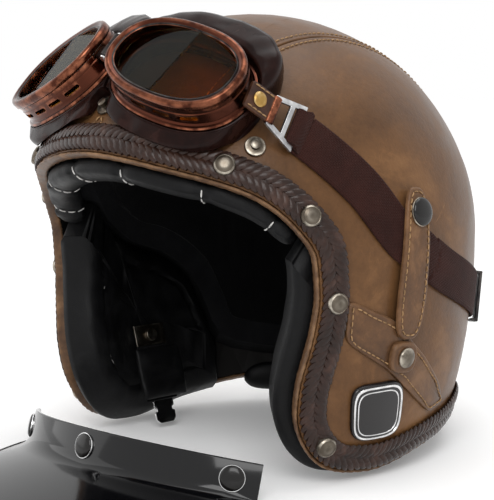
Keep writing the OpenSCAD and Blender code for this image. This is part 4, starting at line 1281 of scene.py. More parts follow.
@dataclass
class Padding:
    """The comfort lining, the brow and neck rolls and the cheek pads."""

    roll_t: float = 20 * MM
    brow_w: float = 12 * MM
    neck_w: float = 18 * MM
    brow_seams: tuple[float, ...] = (0.018, 0.056, 0.092)
    rim_length: float = 0.86
    pinch: float = 1.6 * MM
    inset: float = 1.5 * MM

    def roll(self, name: str, turns: tuple[float, float], width: float, seams: Sequence[float],
             on_table: bool) -> Object:
        """A stuffed roll along the rim with sewn cross channels."""
        u = np.linspace(*turns, 170)[:, None]
        pinch = self.pinch * sum(
            np.exp(-((u - s) * self.rim_length / (2 * self.pinch)) ** 2) for s in seams)
        ends = np.sqrt(np.clip(1 - np.abs((u - turns[0]) / (turns[1] - turns[0]) * 2 - 1) ** 14,
                               0.05, 1))
        ring = squircle(1, 1, 2.7, 26)
        across = width / 2 - self.inset + ring[:, 0] * (width / 2 + 1.2 * MM - pinch) * ends
        half_t = self.roll_t / 2
        depth = LAYERS.pad_top + half_t + ring[:, 1] * (half_t - pinch) * ends
        points = RIM.beside(u + 0 * depth, across, depth)
        points += FORM.normal(FORM.under(points)) * waviness(points, 11 * MM, 0.6 * MM)[..., None]
        if on_table:
            points[..., 2] = np.maximum(points[..., 2], 0)
        piece = solid(name, points, FINISH.leatherette)
        STUFFING.fill(piece, np.array([self.channel(s, width)[0] for s in seams]), 60)
        return piece

    def channel(self, s: float, width: float) -> tuple[Array, Array]:
        """The line of a sewn cross channel at turn s of a roll, and the roll's middle there."""
        t = np.linspace(-0.5, 0.5, 30) * math.pi
        across = width / 2 - self.inset + np.cos(t) * (width / 2 - 0.1 * MM)
        depth = LAYERS.pad_top + self.roll_t / 2 + np.sin(t) * (self.roll_t / 2 - 1.3 * MM)
        return (RIM.beside(np.full(30, s), across, depth),
                RIM.beside(np.full(30, s), width * 0.2, LAYERS.pad_top + self.roll_t / 2))

    def rolls(self) -> None:
        """The brow roll with white stitches in its channels, and the neck roll."""
        seams = [s * sign for s in self.brow_seams for sign in (1, -1)]
        settle(self.roll("brow_cushion", (-0.115, 0.115), self.brow_w, seams, False), "helmet",
               ["brow_roll"])
        settle(self.roll("nape_cushion", (0.415, 0.585), self.neck_w, (0.47, 0.5, 0.53), True),
               "helmet", ["neck_roll"])
        rows = []
        for s in seams:
            line, centre = self.channel(s, self.brow_w)
            rows.append(Places.row(line, unit(line - centre), 5.6 * MM))
        settle(REPEATER.lay("roll_stitches", WHITE_STITCH, Places.join(rows), FINISH.white_thread,
                            0.1, 0.1, 8), "helmet")

    def cheeks(self) -> None:
        """The two cheek pads that stand proud of the rim."""
        k = np.linspace(0, 1, 90)
        reach = np.where(k < 0.6, 13, 13 - 5 * (k - 0.6) / 0.4) * MM
        front = FORM.under(RIM.beside(0.128 + 0.272 * k, reach))
        back = FORM.under(LINER_RIM.beside(np.linspace(0.385, 0.15, 70), 2.5 * MM))
        loop = np.concatenate([front, back])
        centre = side_dir(-0.16, -0.28)
        round_top, round_in = rolled(5 * MM, 9 * MM), rolled(9 * MM, 16 * MM)

        def outer(far: Array, dirs: Array) -> Array:
            """Depth of the face toward the shell."""
            return LAYERS.pad_top + round_top(far)

        def inner(far: Array, dirs: Array) -> Array:
            """Depth of the face toward the cheek, with creases and a sewn channel."""
            channel = 1.8 * MM * np.exp(-((far - 15 * MM) / (1.6 * MM)) ** 2)
            soft = waviness(FORM.skin(dirs), 13 * MM, 1.1 * MM, 3.0)
            return LAYERS.pad_top + 25 * MM - round_in(far) - channel + soft

        near = [d * MM for d in (0, 0.6, 1.6, 3, 5, 7, 9, 11.5, 13.2, 15, 16.8, 19)]
        rows = patch(loop, centre, near, 9, outer, inner)
        rows[..., 2] = np.maximum(rows[..., 2], 0)
        sewn_on = inset(np.r_[loop[:88], loop[87:88]], centre, 14.6 * MM)[4:-2]
        seam = FORM.skin(sewn_on, LAYERS.pad_top + 22.6 * MM)
        sewn = Places.row(seam, -FORM.normal(sewn_on), 4.6 * MM)
        for side in Side:
            pad = solid(f"cheek_cushion_{side.value}", side.put(rows), FINISH.leatherette)
            STUFFING.fill(pad, side.put(seam), 4)
            settle(pad, "helmet", [f"cheek_pad_{side.value}"])
        settle(REPEATER.lay("cheek_stitches", WHITE_STITCH, Places.both(sewn),
                            FINISH.white_thread, 0.1, 0.1, 9), "helmet")

    def lining(self) -> None:
        """The quilted lining against the head."""
        loop = FORM.under(LINER_RIM.beside(np.linspace(0, 1, 160, endpoint=False), -16 * MM))
        top = LAYERS.liner_in + 1 * MM

        def inner(far: Array, dirs: Array) -> Array:
            """Depth of the face toward the head, with diamond quilting."""
            full = LAYERS.comfort * (1 - 0.5 * np.clip(1 - far / (14 * MM), 0, 1) ** 2)
            lines = [np.abs((dirs[..., 0] + sign * dirs[..., 1]) / 0.24 % 1 - 0.5) * 0.24
                     for sign in (1, -1)]
            groove = np.exp(-(np.minimum(*lines) * FORM.half_w / (2.2 * MM)) ** 2)
            return top + full - 1.7 * MM * groove

        rows = patch(loop, unit([0, 0.55, 0.83]), [0, 1 * MM, 3 * MM, 6 * MM, 10 * MM], 44,
                     lambda far, dirs: np.full(far.shape, top), inner)
        settle(solid("quilted_lining", rows, FINISH.pad_cloth, sharp=60), "helmet",
               ["comfort_liner"])

    def build(self) -> None:
        """Makes every pad."""
        self.rolls()
        self.cheeks()
        self.lining()
        for node, finish in (("outer_shell", FINISH.shell), ("impact_liner", FINISH.foam)):
            dress(node, finish)


def dress(node: str, finish: Material) -> None:
    """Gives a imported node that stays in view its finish."""
    mesh = frame["nodes"][node].data
    mesh.materials.clear()
    mesh.materials.append(finish)


# ---- Strap, tabs and goggles ----
@dataclass
class StrapLine:
    """The strap's centre line over the form, measured from its front end."""

    width: float = 25 * MM
    thick: float = 1.8 * MM
    begin: float = 0.02
    split: float = 2.62
    clear: float = 1.9 * MM
    keys: Array = field(init=False)
    lengths: Array = field(init=False)

    def __post_init__(self) -> None:
        """Measures the line."""
        self.keys = np.linspace(self.begin, 6, 900)
        line = FORM.skin(self.dirs(self.keys))
        self.lengths = np.r_[0, np.cumsum(np.linalg.norm(np.diff(line, axis=0), axis=1))]

    @staticmethod
    def dirs(k: Array) -> Array:
        """Directions at line numbers k, from the hook (0) to the back of the head (6)."""
        shares = [(-0.437, 0.48), (-0.263, 0.272), (-0.095, 0.058), (0.127, -0.042),
                  (0.42, -0.115), (0.72, -0.175)]
        path = [side_dir(*q) for q in shares] + [np.array([0, math.sqrt(1 - 0.04), -0.2])]
        path = np.array([unit(2 * path[0] - path[1]), *path, flip_x(path[-2])])
        k = np.minimum(np.asarray(k, float), 5.999)
        i = np.floor(k).astype(int)
        return between([path[i + o] for o in range(4)], (k - i)[..., None])

    def side(self, k: Array) -> Array:
        """Unit vectors across the strap at line numbers k."""
        s = self.dirs(np.minimum(k, 5.98))
        ahead = FORM.skin(self.dirs(np.minimum(k, 5.98) + 0.01)) - FORM.skin(s)
        return unit(np.cross(FORM.normal(s), ahead))

    def at(self, along: Array, across: Array, lift: Array | float) -> Array:
        """Points of the strap: along its line, across it and lifted off the leather."""
        k = np.interp(along, self.lengths, self.keys)
        p = FORM.skin(self.dirs(k)) + self.side(k) * across[..., None]
        return FORM.skin(FORM.under(p), -np.asarray(lift, float) * np.ones(across.shape))

    @property
    def split_at(self) -> float:
        """Distance to the point about which the front of the strap swings."""
        return float(np.interp(self.split, self.keys, self.lengths))


@dataclass
class Strap:
    """The elastic strap, its folds round the hooks and its slider."""

    line: StrapLine = field(default_factory=StrapLine)
    trim: float = 0.5 * MM
    seam: float = 0.05 * MM

    def ring(self, n: int = 28) -> tuple[Array, Array]:
        """Places across the strap and shares of its thickness round its section."""
        q = squircle(self.line.width / 2, 0.5, 6, n)
        return q[:, 0], 0.5 + q[:, 1]

    def band(self, first: Callable[[Array], Array], last: Callable[[Array], Array],
             steps: int = 90) -> tuple[Array, Array]:
        """Rings and their maps between two ends that follow the place across.

        Args:
            first: distance at which the band starts, from the place across.
            last: distance at which it ends.
            steps: number of rings.
        Returns:
            The rings and a UV pair in metres for each point.
        """
        v, h = self.ring()
        k = np.linspace(0, 1, steps)[:, None]
        along = first(v)[None] * (1 - k) + last(v)[None] * k
        across = v[None] * np.ones_like(along)
        ribs = 0.12 * MM * np.cos(v / self.line.width * 2 * math.pi * 9) * (h > 0.5)
        lift = GAP + h * (self.line.thick - 0.15 * MM) + ribs
        return (self.line.at(along, across, lift[None] * np.ones_like(along)),
                np.stack([along, across + 1], -1))

    def build(self) -> None:
        """Makes every part of the strap."""
        half, split = self.line.width / 2, self.line.split_at
        front, map_front = self.band(
            lambda v: 0 * v,
            lambda v: split + np.sqrt(np.clip(half ** 2 - v ** 2, 0, 1)) - self.trim)
        hole = half + self.line.clear
        rear, map_rear = self.band(lambda v: split + np.sqrt(hole ** 2 - v ** 2),
                                   lambda v: 0 * v + self.line.lengths[-1] - self.seam)
        for side in Side:
            settle(solid(f"elastic_front_{side.value}", side.put(front), FINISH.elastic,
                         uv=map_front), "strap", [f"strap_front_{side.value}"])
        whole = np.concatenate([rear, flip_x(rear)[::-1]])
        settle(solid("elastic_rear", whole, FINISH.elastic,
                     uv=np.concatenate([map_rear, map_rear[::-1]])), "helmet",
               ["strap_rear"])
        refined("strap_slider", FINISH.black, "slider", 0.5 * MM)


@dataclass
class Tabs:
    """The leather tabs that hold the strap, with their feet, rivets and snap caps."""

    width: float = 22 * MM
    length: float = 78 * MM
    thick: float = 2.2 * MM
    start: float = 10.2 * MM
    foot: float = 9 * MM
    under: float = 2.7 * MM
    tilt: float = 5.0
    band_t: float = 1.4 * MM
    low: Array = field(default_factory=lambda: side_dir(-0.073, -0.25))

    def dirs(self, v: Array, u: Array) -> Array:
        """Directions of tab points, u up from the rivet and v to the rear."""
        t = math.radians(-self.tilt)
        y, z = v * math.cos(t) - u * math.sin(t), v * math.sin(t) + u * math.cos(t)
        return FORM.under(FORM.skin(self.low) + np.stack([0 * y, y, z], -1))

    def outline(self, shrink: float, n: int = 110) -> Array:
        """Directions round the tab, drawn in by a distance."""
        q = squircle(self.width / 2 - shrink, self.length / 2 - shrink, 3.4, n)
        wide = 1 - 0.22 * (q[:, 1] / self.length + 0.5)
        return self.dirs(q[:, 0] * wide, self.start + self.length / 2 + q[:, 1])

    def strip(self, loop: Array, centre: Array, top: float, bottom: float) -> Array:
        """Rings of a leather piece with rolled edges and a stitch groove."""
        edge = rolled((top - bottom) * 0.7, 1.4 * MM)
        return patch(loop, centre, FINE_RINGS[:10], 5, lambda far, d: edge(far) - top
                     + 0.35 * MM * np.exp(-((far - 2.6 * MM) / (0.6 * MM)) ** 2)
                     + waviness(FORM.skin(d), 12 * MM, 0.12 * MM),
                     lambda far, d: np.full(far.shape, -bottom))

    def build(self) -> None:
        """Makes the tabs of both sides."""
        tab = self.strip(self.outline(0), self.dirs(np.array(0.0), np.array(
            self.start + self.length / 2)), self.under + self.thick, self.under)
        q = squircle(self.width / 2 - 1.5 * MM, self.foot, 3, 60)
        foot = self.strip(self.dirs(q[:, 0], q[:, 1]), self.dirs(np.array(0.0), np.array(0.0)),
                          self.under + self.thick, 2 * GAP + self.band_t)
        seam = self.outline(2.6 * MM)
        sewn = Places.on_form(np.r_[seam, seam[:1]], -self.under - self.thick + 0.2 * MM,
                              STITCH_PITCH)
        cap_at = self.dirs(np.array([1 * MM]), np.array([self.start + self.length - 13 * MM]))
        caps = fixed(cap_at, self.under + self.thick)
        cap = [(5.4, -0.3), (5.4, 0.7), (7.3, 0.8), (7.5, 1.2), (7.4, 2.0), (6.6, 2.7), (5.2, 3.1),
               (3, 3.4), (0.8, 3.5)]
        ring = [(7.1, 0.45), (7.55, 0.5), (7.8, 0.9), (7.55, 1.35), (7.1, 1.4)]
        for side in Side:
            body, name = f"tab_{side.value}", side.value
            settle(solid(f"keeper_{name}", side.put(tab), FINISH.tab), body,
                   [f"retaining_tab_{name}"])
            settle(solid(f"keeper_foot_{name}", side.put(foot), FINISH.tab), "helmet",
                   [f"tab_base_{name}"])
            settle(REPEATER.lay(f"keeper_stitches_{name}", TAN_STITCH, sewn.on(side),
                                FINISH.tan_thread, 0.12, 0.1, 11), body)
            settle(REPEATER.lay(f"keeper_cap_{name}", turned(cap, 28), caps.on(side),
                                FINISH.lacquer), body, [f"tab_snap_{name}"])
            settle(REPEATER.lay(f"keeper_cap_ring_{name}", turned(ring, 28), caps.on(side),
                                FINISH.nickel), body)
        head = [(2.4, -5), (2.4, -0.4), (5.5, -0.3), (5.6, 0.4), (5.2, 1.1), (4, 1.7), (2, 2.1),
                (0.6, 2.2)]
        rivets = fixed(self.low[None], self.under + self.thick + 0.6 * MM)
        settle(REPEATER.lay("keeper_rivets", turned(head, 24), Places.both(rivets),
                            FINISH.nickel), "helmet", ["tab_rivets"])


@dataclass
class Goggles:
    """Two plated cups with creased lenses, cushions, a nose hinge, side tabs and hooks."""

    tilt: float = 45.0
    cup_w: float = 83 * MM
    cup_h: float = 53 * MM
    place: tuple[float, float, float] = (48 * MM, 12 * MM, 13.5 * MM)
    yaw: float = 17.0
    roll: float = 7.0
    depth: float = 18 * MM
    power: float = 2.4
    side_puff: float = 9 * MM
    brow_puff: float = 11.5 * MM
    tab_w: float = 15 * MM
    tab_t: float = 2.6 * MM
    seat_z: float = 0.638
    frame: Matrix = field(init=False)
    cup: Matrix = field(init=False)

    def __post_init__(self) -> None:
        """Works out the frames of the goggles and of the left cup."""
        seat = FORM.skin(np.array([0, -math.sqrt(1 - self.seat_z ** 2), self.seat_z]))
        self.frame = Matrix.Translation(Vector(seat)) @ Matrix.Rotation(
            math.radians(90 - self.tilt), 4, "X")
        self.cup = self.frame @ Matrix.Translation(Vector(self.place)) @ Matrix.Rotation(
            math.radians(self.yaw), 4, "Y") @ Matrix.Rotation(math.radians(-self.roll), 4, "Z")

    def around(self, profile: Sequence[tuple[float, float]], n: int = 120) -> Array:
        """Rings round the cup from a (growth, height) profile in millimetres."""
        rings = [np.c_[squircle(self.cup_w / 2 + g * MM, self.cup_h / 2 + g * MM, self.power, n),
                       np.full(n, z * MM)] for g, z in profile]
        return carry(self.cup, np.array(rings).transpose(1, 0, 2))

    def metal(self) -> None:
        """The cups with vents, bezels and beads, and a thin black ring at each lens edge that
        paints the shadow gap between bezel and lens.
        """
        wall = [(-0.6, -5.3), (-0.9, -8), (-0.5, -8.6), (-0.4, -14.6), (0.3, -15.6), (1.4, -15.9),
                (2.0, -16.7), (1.9, -17.6), (1.1, -18), (-2.4, -18), (-3, -17.4), (-2.9, -16.4),
                (-1.9, -15.8), (-1.9, -5.3)]
        bezel = [(0.2, -4.6), (0.2, -1.8), (-0.1, -0.9), (-0.8, -0.25), (-1.7, 0), (-2.6, -0.15),
                 (-3.2, -0.7), (-4.4, -0.9), (-5, -1.4), (-5, -4.6), (-4.6, -5), (-0.2, -5)]
        for side in Side:
            name = side.value
            cup = solid(f"cup_shell_{name}", side.put(self.around(wall, 160)), FINISH.copper,
                        wrap=True, sharp=32)
            self.cut_vents(cup, side)
            settle(cup, "goggles", [f"goggle_cup_{name}"])
            settle(solid(f"cup_bezel_{name}", side.put(self.around(bezel, 160)), FINISH.copper,
                         wrap=True, sharp=50), "goggles", [f"bezel_{name}"])
            # painted shadow: this black ring on the bezel's inner edge stands for the shadow gap
            # between bezel and lens
            rim = [(-4.9, -0.95), (-4.5, -0.62), (-4.1, -0.6), (-3.9, -0.85), (-4.2, -1.1),
                   (-4.8, -1.2)]
            settle(solid(f"lens_bead_{name}", side.put(self.around(rim, 160)), FINISH.black,
                         wrap=True), "goggles")
            # the inner pane's grey-olive tint is painted shade and reflection on the same amber
            # lens
            dress(f"lens_inner_{name}", FINISH.smoke)
            dress(f"lens_outer_{name}", FINISH.amber)

    def cut_vents(self, cup: Object, side: Side) -> None:
        """Cuts four slots through the lower wall of a cup."""
        half_w, half_h, n = 5.5 * MM, 1.2 * MM, 20
        slots = []
        for i in (-1.5, -0.5, 0.5, 1.5):
            t = circle(n)
            x = i * self.cup_w * 0.19 + np.cos(t) * half_h + np.sign(np.cos(t)) * (half_w - half_h)
            z = -self.depth * 0.62 + np.sin(t) * half_h
            rows = [np.stack([x, np.full(n, y), z], -1)
                    for y in (-self.cup_h / 2 - 4 * MM, -self.cup_h / 2 + 8 * MM)]
            slots.append(side.put(carry(self.cup, rows)))
        for number, rows in enumerate(slots):
            cutter = solid(f"slot_{side.value}_{number}", rows, FINISH.black)
            hole = cup.modifiers.new("slot", "BOOLEAN")
            hole.object, hole.operation, hole.solver = cutter, "DIFFERENCE", "EXACT"
            graph = bpy.context.evaluated_depsgraph_get()
            made = bpy.data.meshes.new_from_object(cup.evaluated_get(graph))
            cup.modifiers.clear()
            cup.data = made
            bpy.data.objects.remove(cutter)
        cup.data.shade_smooth()
        cup.data.set_sharp_from_angle(angle=math.radians(32))

    def cushion(self) -> Array:
        """Rings of the left cushion, puffed at the brow and laid on the leather."""
        n = 200
        a = circle(n)
        up = np.maximum(0, np.sin(a))
        puff = (self.side_puff + self.brow_puff * up) * (
            1 - 0.9 * np.maximum(0, np.cos(a)) ** 4)
        back = -self.depth - GAP
        deep = back - 9.7 * MM + 0 * a
        keys = [(-4 * MM + 0 * a, back + 0 * a, 0), (2.2 * MM + 0 * a, back + 0 * a, 0),
                (np.minimum(3.4 * MM + up * MM, 1.5 * MM + puff), back + 8 * MM * up, 0),
                (puff, back - 2.7 * MM + 5.6 * MM * up, 0),
                (puff - 1 * MM, deep, 1), (2 * MM + 0 * a, deep, 1), (-3 * MM + 0 * a, deep, 1)]
        one = squircle(1, 1, self.power, n)
        rings = []
        for grow, z, seated in keys:
            g = np.stack([(self.cup_w / 2 + grow) * one[:, 0], (self.cup_h / 2 + grow) * one[:, 1],
                          z], -1)
            p = carry(self.frame.inverted() @ self.cup, g)
            p[:, 0] = np.maximum(p[:, 0], 1.2 * MM)
            p = carry(self.frame, p)
            rest = FORM.skin(FORM.under(p), -GAP - self.over_braid(FORM.under(p)))
            inside = (np.linalg.norm(p - FORM.middle, axis=1)
                      < np.linalg.norm(rest - FORM.middle, axis=1))
            rings.append(np.where((inside | bool(seated))[:, None], rest, p))
        rows = np.array(rings).transpose(1, 0, 2)
        m = 30
        k = np.arange(m) / m * len(keys)
        i = k.astype(int)
        t = (k - i)[None, :, None]
        p0, p1, p2, p3 = (rows[:, (i + o) % len(keys)] for o in (-1, 0, 1, 2))
        tight = 0.42
        d1, d2 = (p2 - p0) * tight, (p3 - p1) * tight
        smooth = (p1 * (1 + 2 * t) * (1 - t) ** 2 + d1 * t * (1 - t) ** 2
                  + p2 * t * t * (3 - 2 * t) + d2 * t * t * (t - 1))
        free = np.exp(-((k - 2.9) / 1.1) ** 2)[None, :]
        creases = (waviness(smooth, 12 * MM, 1.0 * MM) + 0.35 * MM * np.sin(a * 22)[:, None]
                   * waviness(smooth, 30 * MM, 1.5, 9.0))
        smooth += FORM.normal(FORM.under(smooth)) * (creases * free)[..., None]
        below = FORM.under(smooth)
        floor = FORM.skin(below, -GAP - self.over_braid(below))
        low = (np.linalg.norm(smooth - FORM.middle, axis=-1)
               < np.linalg.norm(floor - FORM.middle, axis=-1))
        smooth = np.where(low[..., None], floor, smooth)
        for stud in (BROW_STUD, SIDE_STUD):
            smooth = self.arch(smooth, stand(stud, 0))
        return smooth

    @staticmethod
    def over_braid(s: Array) -> Array:
        """How far the leather's surface is lifted by the plait under directions s."""
        turns = np.linspace(-0.16, 0.16, 160)
        edge = FORM.under(RIM.beside(turns, -22.6 * MM))
        z = np.interp(np.clip(np.abs(s[..., 0]), 0, 0.78), np.abs(edge[80:, 0]), edge[80:, 2])
        return 3.8 * MM * np.clip((z - s[..., 2]) * FORM.crown_r / (5 * MM), 0, 1)

    @staticmethod
    def arch(points: Array, at: Matrix) -> Array:
        """Lifts a cushion's lower edge in an arch over a stud."""
        local = carry(at.inverted(), points)
        x, y, z = local[..., 0], local[..., 1], local[..., 2]
        reach = 7.4 * MM
        floor = np.sqrt(np.clip(reach ** 2 - x ** 2, 0, 1))
        near = (np.abs(x) < reach) & (y < floor) & (y > -16 * MM) & (z < 9 * MM) & (z > -4 * MM)
        local[..., 1] = np.where(near, floor, y)
        return np.where(near[..., None], carry(at, local), points)

    def soft(self) -> None:
        """The cushions with a piped edge."""
        rows = self.cushion()
        pipe = [(2.0, -18.9), (2.6, -19.0), (3.0, -18.5), (2.9, -17.9), (2.4, -17.6), (2.0, -18.1)]
        for side in Side:
            settle(solid(f"cushion_{side.value}", side.put(rows), FINISH.vinyl, wrap=True,
                         sharp=180), "goggles",
                   [f"goggle_cushion_{side.value}"])
            settle(solid(f"cushion_pipe_{side.value}", side.put(self.around(pipe, 160)),
                         FINISH.vinyl, wrap=True), "goggles")

    def links(self) -> None:
        """The nose hinge, the side tabs, their rivets and the cast hooks."""
        for side in Side:
            refined(f"bridge_{side.value}", FINISH.black, "goggles", 0.5 * MM)
        nose = carry(self.frame.inverted() @ self.cup, np.array(
            [[-self.cup_w / 2, 0, -self.depth / 2]]))[0]
        hinge = self.frame @ Matrix.Translation((0, nose[1], nose[2] + 1 * MM)) @ Matrix.Rotation(
            math.radians(-90), 4, "X")
        pin = [(0.6, -9), (2.3, -8.9), (2.6, -8.4), (2.4, -7.6), (1.45, -7.4), (1.45, 7.4),
               (2.4, 7.6), (2.6, 8.4), (2.3, 8.9), (0.6, 9)]
        settle(solid("hinge_pin", carry(hinge, turned(pin, 20)), FINISH.chrome), "goggles",
               ["bridge_pin"])
        line = StrapLine()
        k = np.array([line.begin])
        end = carry(self.cup, np.array([[self.cup_w / 2, 3 * MM, -self.depth / 2]]))[0]
        start = FORM.skin(line.dirs(k), -GAP - line.thick / 2)[0]
        across, link = line.side(k)[0], start - end
        tab_at = lie(end + unit(link) * 1.6 * MM, start, across)
        hook_at = lie(end + link * 0.42, start, across)
        length = float(np.linalg.norm(link)) * 0.42 - 1.6 * MM
        hook_len = float(np.linalg.norm(link)) * 0.58 - 4 * MM
        ring = squircle(1, 1, 5, 20)
        rows = []
        for x in np.linspace(0, length - 0.4 * MM, 14):
            soft = 1 - 0.1 * (x < 0.2 * MM)
            rows.append(np.stack([np.full(20, x), ring[:, 0] * self.tab_w / 2 * soft,
                                  self.tab_t / 2 + ring[:, 1] * self.tab_t / 2 * soft], -1))
        fold = squircle(2.6 * MM, 2.3 * MM, 2.6, 16)
        clip = [np.stack([length + 1.3 * MM + fold[:, 0] * s, np.full(16, y * MM),
                          self.tab_t / 2 + fold[:, 1] * s], -1)
                for y, s in ((-7.6, 0.8), (-7.2, 1), (7.2, 1), (7.6, 0.8))]
        sewn_x = np.linspace(1.5 * MM, length - 2 * MM, 20)
        sewn = []
        for y in (-5.9 * MM, 5.9 * MM):
            line_at = np.stack([sewn_x, 0 * sewn_x + y, 0 * sewn_x + self.tab_t], -1)
            out = np.tile(np.array(tab_at.to_3x3().col[2]), (20, 1))
            sewn.append(Places.row(carry(tab_at, line_at), out, 3.2 * MM))
        rivet = [(0.8, -1.3), (3, -1.2), (3, -0.5), (1.5, -0.3), (1.5, 2.6), (3.9, 2.75),
                 (4.05, 3.2), (3.6, 3.8), (2.2, 4.2), (0.6, 4.3)]
        rivet_at = tab_at @ Matrix.Translation((length * 0.45, 0, 0))
        for side in Side:
            name = side.value
            settle(solid(f"end_tab_{name}", side.put(carry(tab_at, rows)), FINISH.strap),
                   "goggles", [f"side_tab_{name}"])
            settle(solid(f"end_clip_{name}", side.put(carry(tab_at, clip)),
                         FINISH.copper), "goggles")
            settle(REPEATER.lay(f"end_stitches_{name}", TAN_STITCH, Places.join(sewn).on(side),
                                FINISH.tan_thread, 0.1, 0.1, 4), "goggles")
            settle(solid(f"end_rivet_{name}", side.put(carry(rivet_at, turned(rivet, 24))),
                         FINISH.brass), "goggles", [f"side_rivet_{name}"])
            refined(f"strap_hook_{name}", FINISH.alloy, "goggles", 0.55 * MM)
            self.fold(hook_at, hook_len, side)

    def fold(self, at: Matrix, hook_len: float, side: Side) -> None:
        """The strap's end, folded round a hook's foot."""
        path = MM * np.array([(5.4, 0.95), (3.2, 1.9), (1.0, 3.3), (-1.4, 3.55), (-3.6, 3.0),
                              (-4.7, 1.5), (-4.0, 0.1), (-1.4, -0.75), (1.0, -0.85), (5.4, -0.95)])
        t = np.linspace(0, len(path) - 1, 40)
        fine = np.stack([np.interp(t, np.arange(len(path)), path[:, i]) for i in (0, 1)], -1)
        for _ in range(3):
            fine[1:-1] = (fine[:-2] + 2 * fine[1:-1] + fine[2:]) / 4
        along = unit(np.gradient(fine, axis=0))
        inward = fine + np.stack([along[:, 1], -along[:, 0]], -1) * 0.8 * MM
        ring = np.concatenate([fine, inward[::-1]])
        narrow = 1 - 0.2 * np.clip((3 * MM - ring[:, 0]) / (4 * MM), 0, 1)
        rows = [np.stack([hook_len + ring[:, 0], v * narrow, ring[:, 1]], -1)
                for v in np.linspace(-12.3 * MM, 12.3 * MM, 24)]
        v = np.linspace(-12.3 * MM, 12.3 * MM, 24)[:, None] * np.ones(80)
        steps = np.cumsum(np.r_[0, np.linalg.norm(np.diff(ring, axis=0), axis=1)])
        uv = np.stack([steps[None] * np.ones((24, 1)), v + 1], -1)
        settle(solid(f"elastic_fold_{side.value}", side.put(carry(at, rows)),
                     FINISH.elastic, uv=uv), "strap")

    def build(self) -> None:
        """Makes the whole goggles."""
        self.metal()
        self.soft()
        self.links()


@dataclass
class ChinStrap:
    """The two straps with their hangers, the quick-release buckle and the padded sleeve."""

    web_w: float = 24 * MM
    web_t: float = 2 * MM
    drop: float = 34 * MM
    anchor_y: float = -14 * MM
    top_z: float = 50 * MM
    cheek_in: float = 31.9 * MM
    pad_side: float = 6 * MM
    pad_t: float = 6 * MM
    hang: Matrix = field(init=False)

    def __post_init__(self) -> None:
        """Works out the frame of the left strap."""
        front = self.anchor_y - self.web_w / 2 - self.pad_side
        low = 45 * MM
        slope = math.atan((self.face(front, self.top_z) - self.face(front, self.top_z - low)) / low)
        x = self.face(front, self.top_z) - (self.web_t + 1.2 * MM) / math.cos(slope)
        self.hang = Matrix.Translation((x, self.anchor_y, self.top_z)) @ Matrix.Rotation(
            slope, 4, "Y")

    def face(self, y: float, z: float) -> float:
        """How far out the cheek pads' inner face is at y and z."""
        t = self.cheek_in
        return (FORM.half_w - t) * math.sqrt(1 - (y / (FORM.front_r - t)) ** 2 - (
            (FORM.mid_z - z) / (FORM.lower_r - t)) ** 2)

    def block(self, side: Side, x: Sequence[float], half_y: Sequence[float], z: Sequence[float],
              power: float = 6, n: int = 28) -> Array:
        """Rings down the strap: middle places, half widths and heights for each."""
        ring = squircle(1, 1, power, n)
        rows = [np.stack([a + ring[:, 1] * t, ring[:, 0] * w, np.full(n, h)], -1)
                for (a, t), w, h in zip(x, half_y, z)]
        return side.put(carry(self.hang, rows))

    def build(self) -> None:
        """Makes the straps, the buckle and the sleeve."""
        z = np.linspace(-0.02 * MM, -self.drop, 60)
        ribs = 0.1 * MM * np.cos(z / MM * 2.6)
        rows_x = [(self.web_t / 2, self.web_t / 2 - 0.12 * MM + r) for r in ribs]
        half = [self.web_w / 2 - 0.1 * MM] * 60
        uv = np.stack([z[:, None] * np.ones(28), squircle(1, 1, 6, 28)[None, :, 0] * half[0]
                       * np.ones((60, 1)) + 1], -1)
        for side in Side:
            settle(solid(f"chin_web_{side.value}", self.block(side, rows_x, half, z),
                         FINISH.webbing, uv=uv), f"chin_{side.value}",
                   [f"chin_strap_{side.value}"])
        refined("chin_anchors", FINISH.nickel, "helmet", 0.3 * MM)
        refined("buckle_receiver", FINISH.nylon, "chin_left", 0.5 * MM)
        x = -6 * MM - 0.3 * MM
        steps = np.linspace(-32, -44, 49) * MM
        grip = [1.25 * MM - 0.22 * MM * (math.cos(s / MM * 2 * math.pi / 2.4) > 0)
                * (-42 * MM < s < -34 * MM) for s in steps]
        settle(solid("release_lever", self.block(Side.LEFT, [(x - 1.25 * MM, g) for g in grip],
                                                 [7 * MM] * 49, steps), FINISH.red),
               "lever", ["buckle_lever"])
        plate = [(-34.3, 7.6), (-34.9, 8), (-38.5, 8), (-39.3, 6.2), (-41, 6.2), (-41.8, 8),
                 (-46, 8), (-47.6, 7), (-48.3, 5.6)]
        settle(solid("latch_tongue", self.block(
            Side.RIGHT, [(self.web_t / 2, 0.8 * MM)] * 9, [w * MM for _, w in plate],
            [h * MM for h, _ in plate], 8), FINISH.chrome, sharp=25), "chin_right",
            ["buckle_tongue"])
        self.sleeve()

    def sleeve(self) -> None:
        """The padded sleeve on the right strap."""
        n, m = 40, 40
        k = np.linspace(-1, 1, n)
        ring = squircle(1, 1, 3.4, m)
        rows = []
        for h in k:
            full = max(0.02, 1 - abs(h) ** 7) ** 0.5
            tuck = 1 - 0.05 * h * h
            rows.append(np.stack([
                -GAP - self.pad_t / 2 + ring[:, 1] * (self.pad_t / 2 - 0.2 * MM) * full,
                ring[:, 0] * (self.web_w / 2 + self.pad_side - 0.3 * MM) * tuck,
                np.full(m, 1 * MM - self.drop / 2 - 1 * MM + h * (self.drop - 2.6 * MM) / 2)], -1))
        rows = np.array(rows)
        rows[..., 0] += waviness(rows, 6 * MM, 0.5 * MM) * (rows[..., 0] < -self.pad_t / 2)
        settle(solid("chin_sleeve", Side.RIGHT.put(carry(self.hang, rows)), FINISH.leatherette),
               "chin_right", ["chin_pad"])


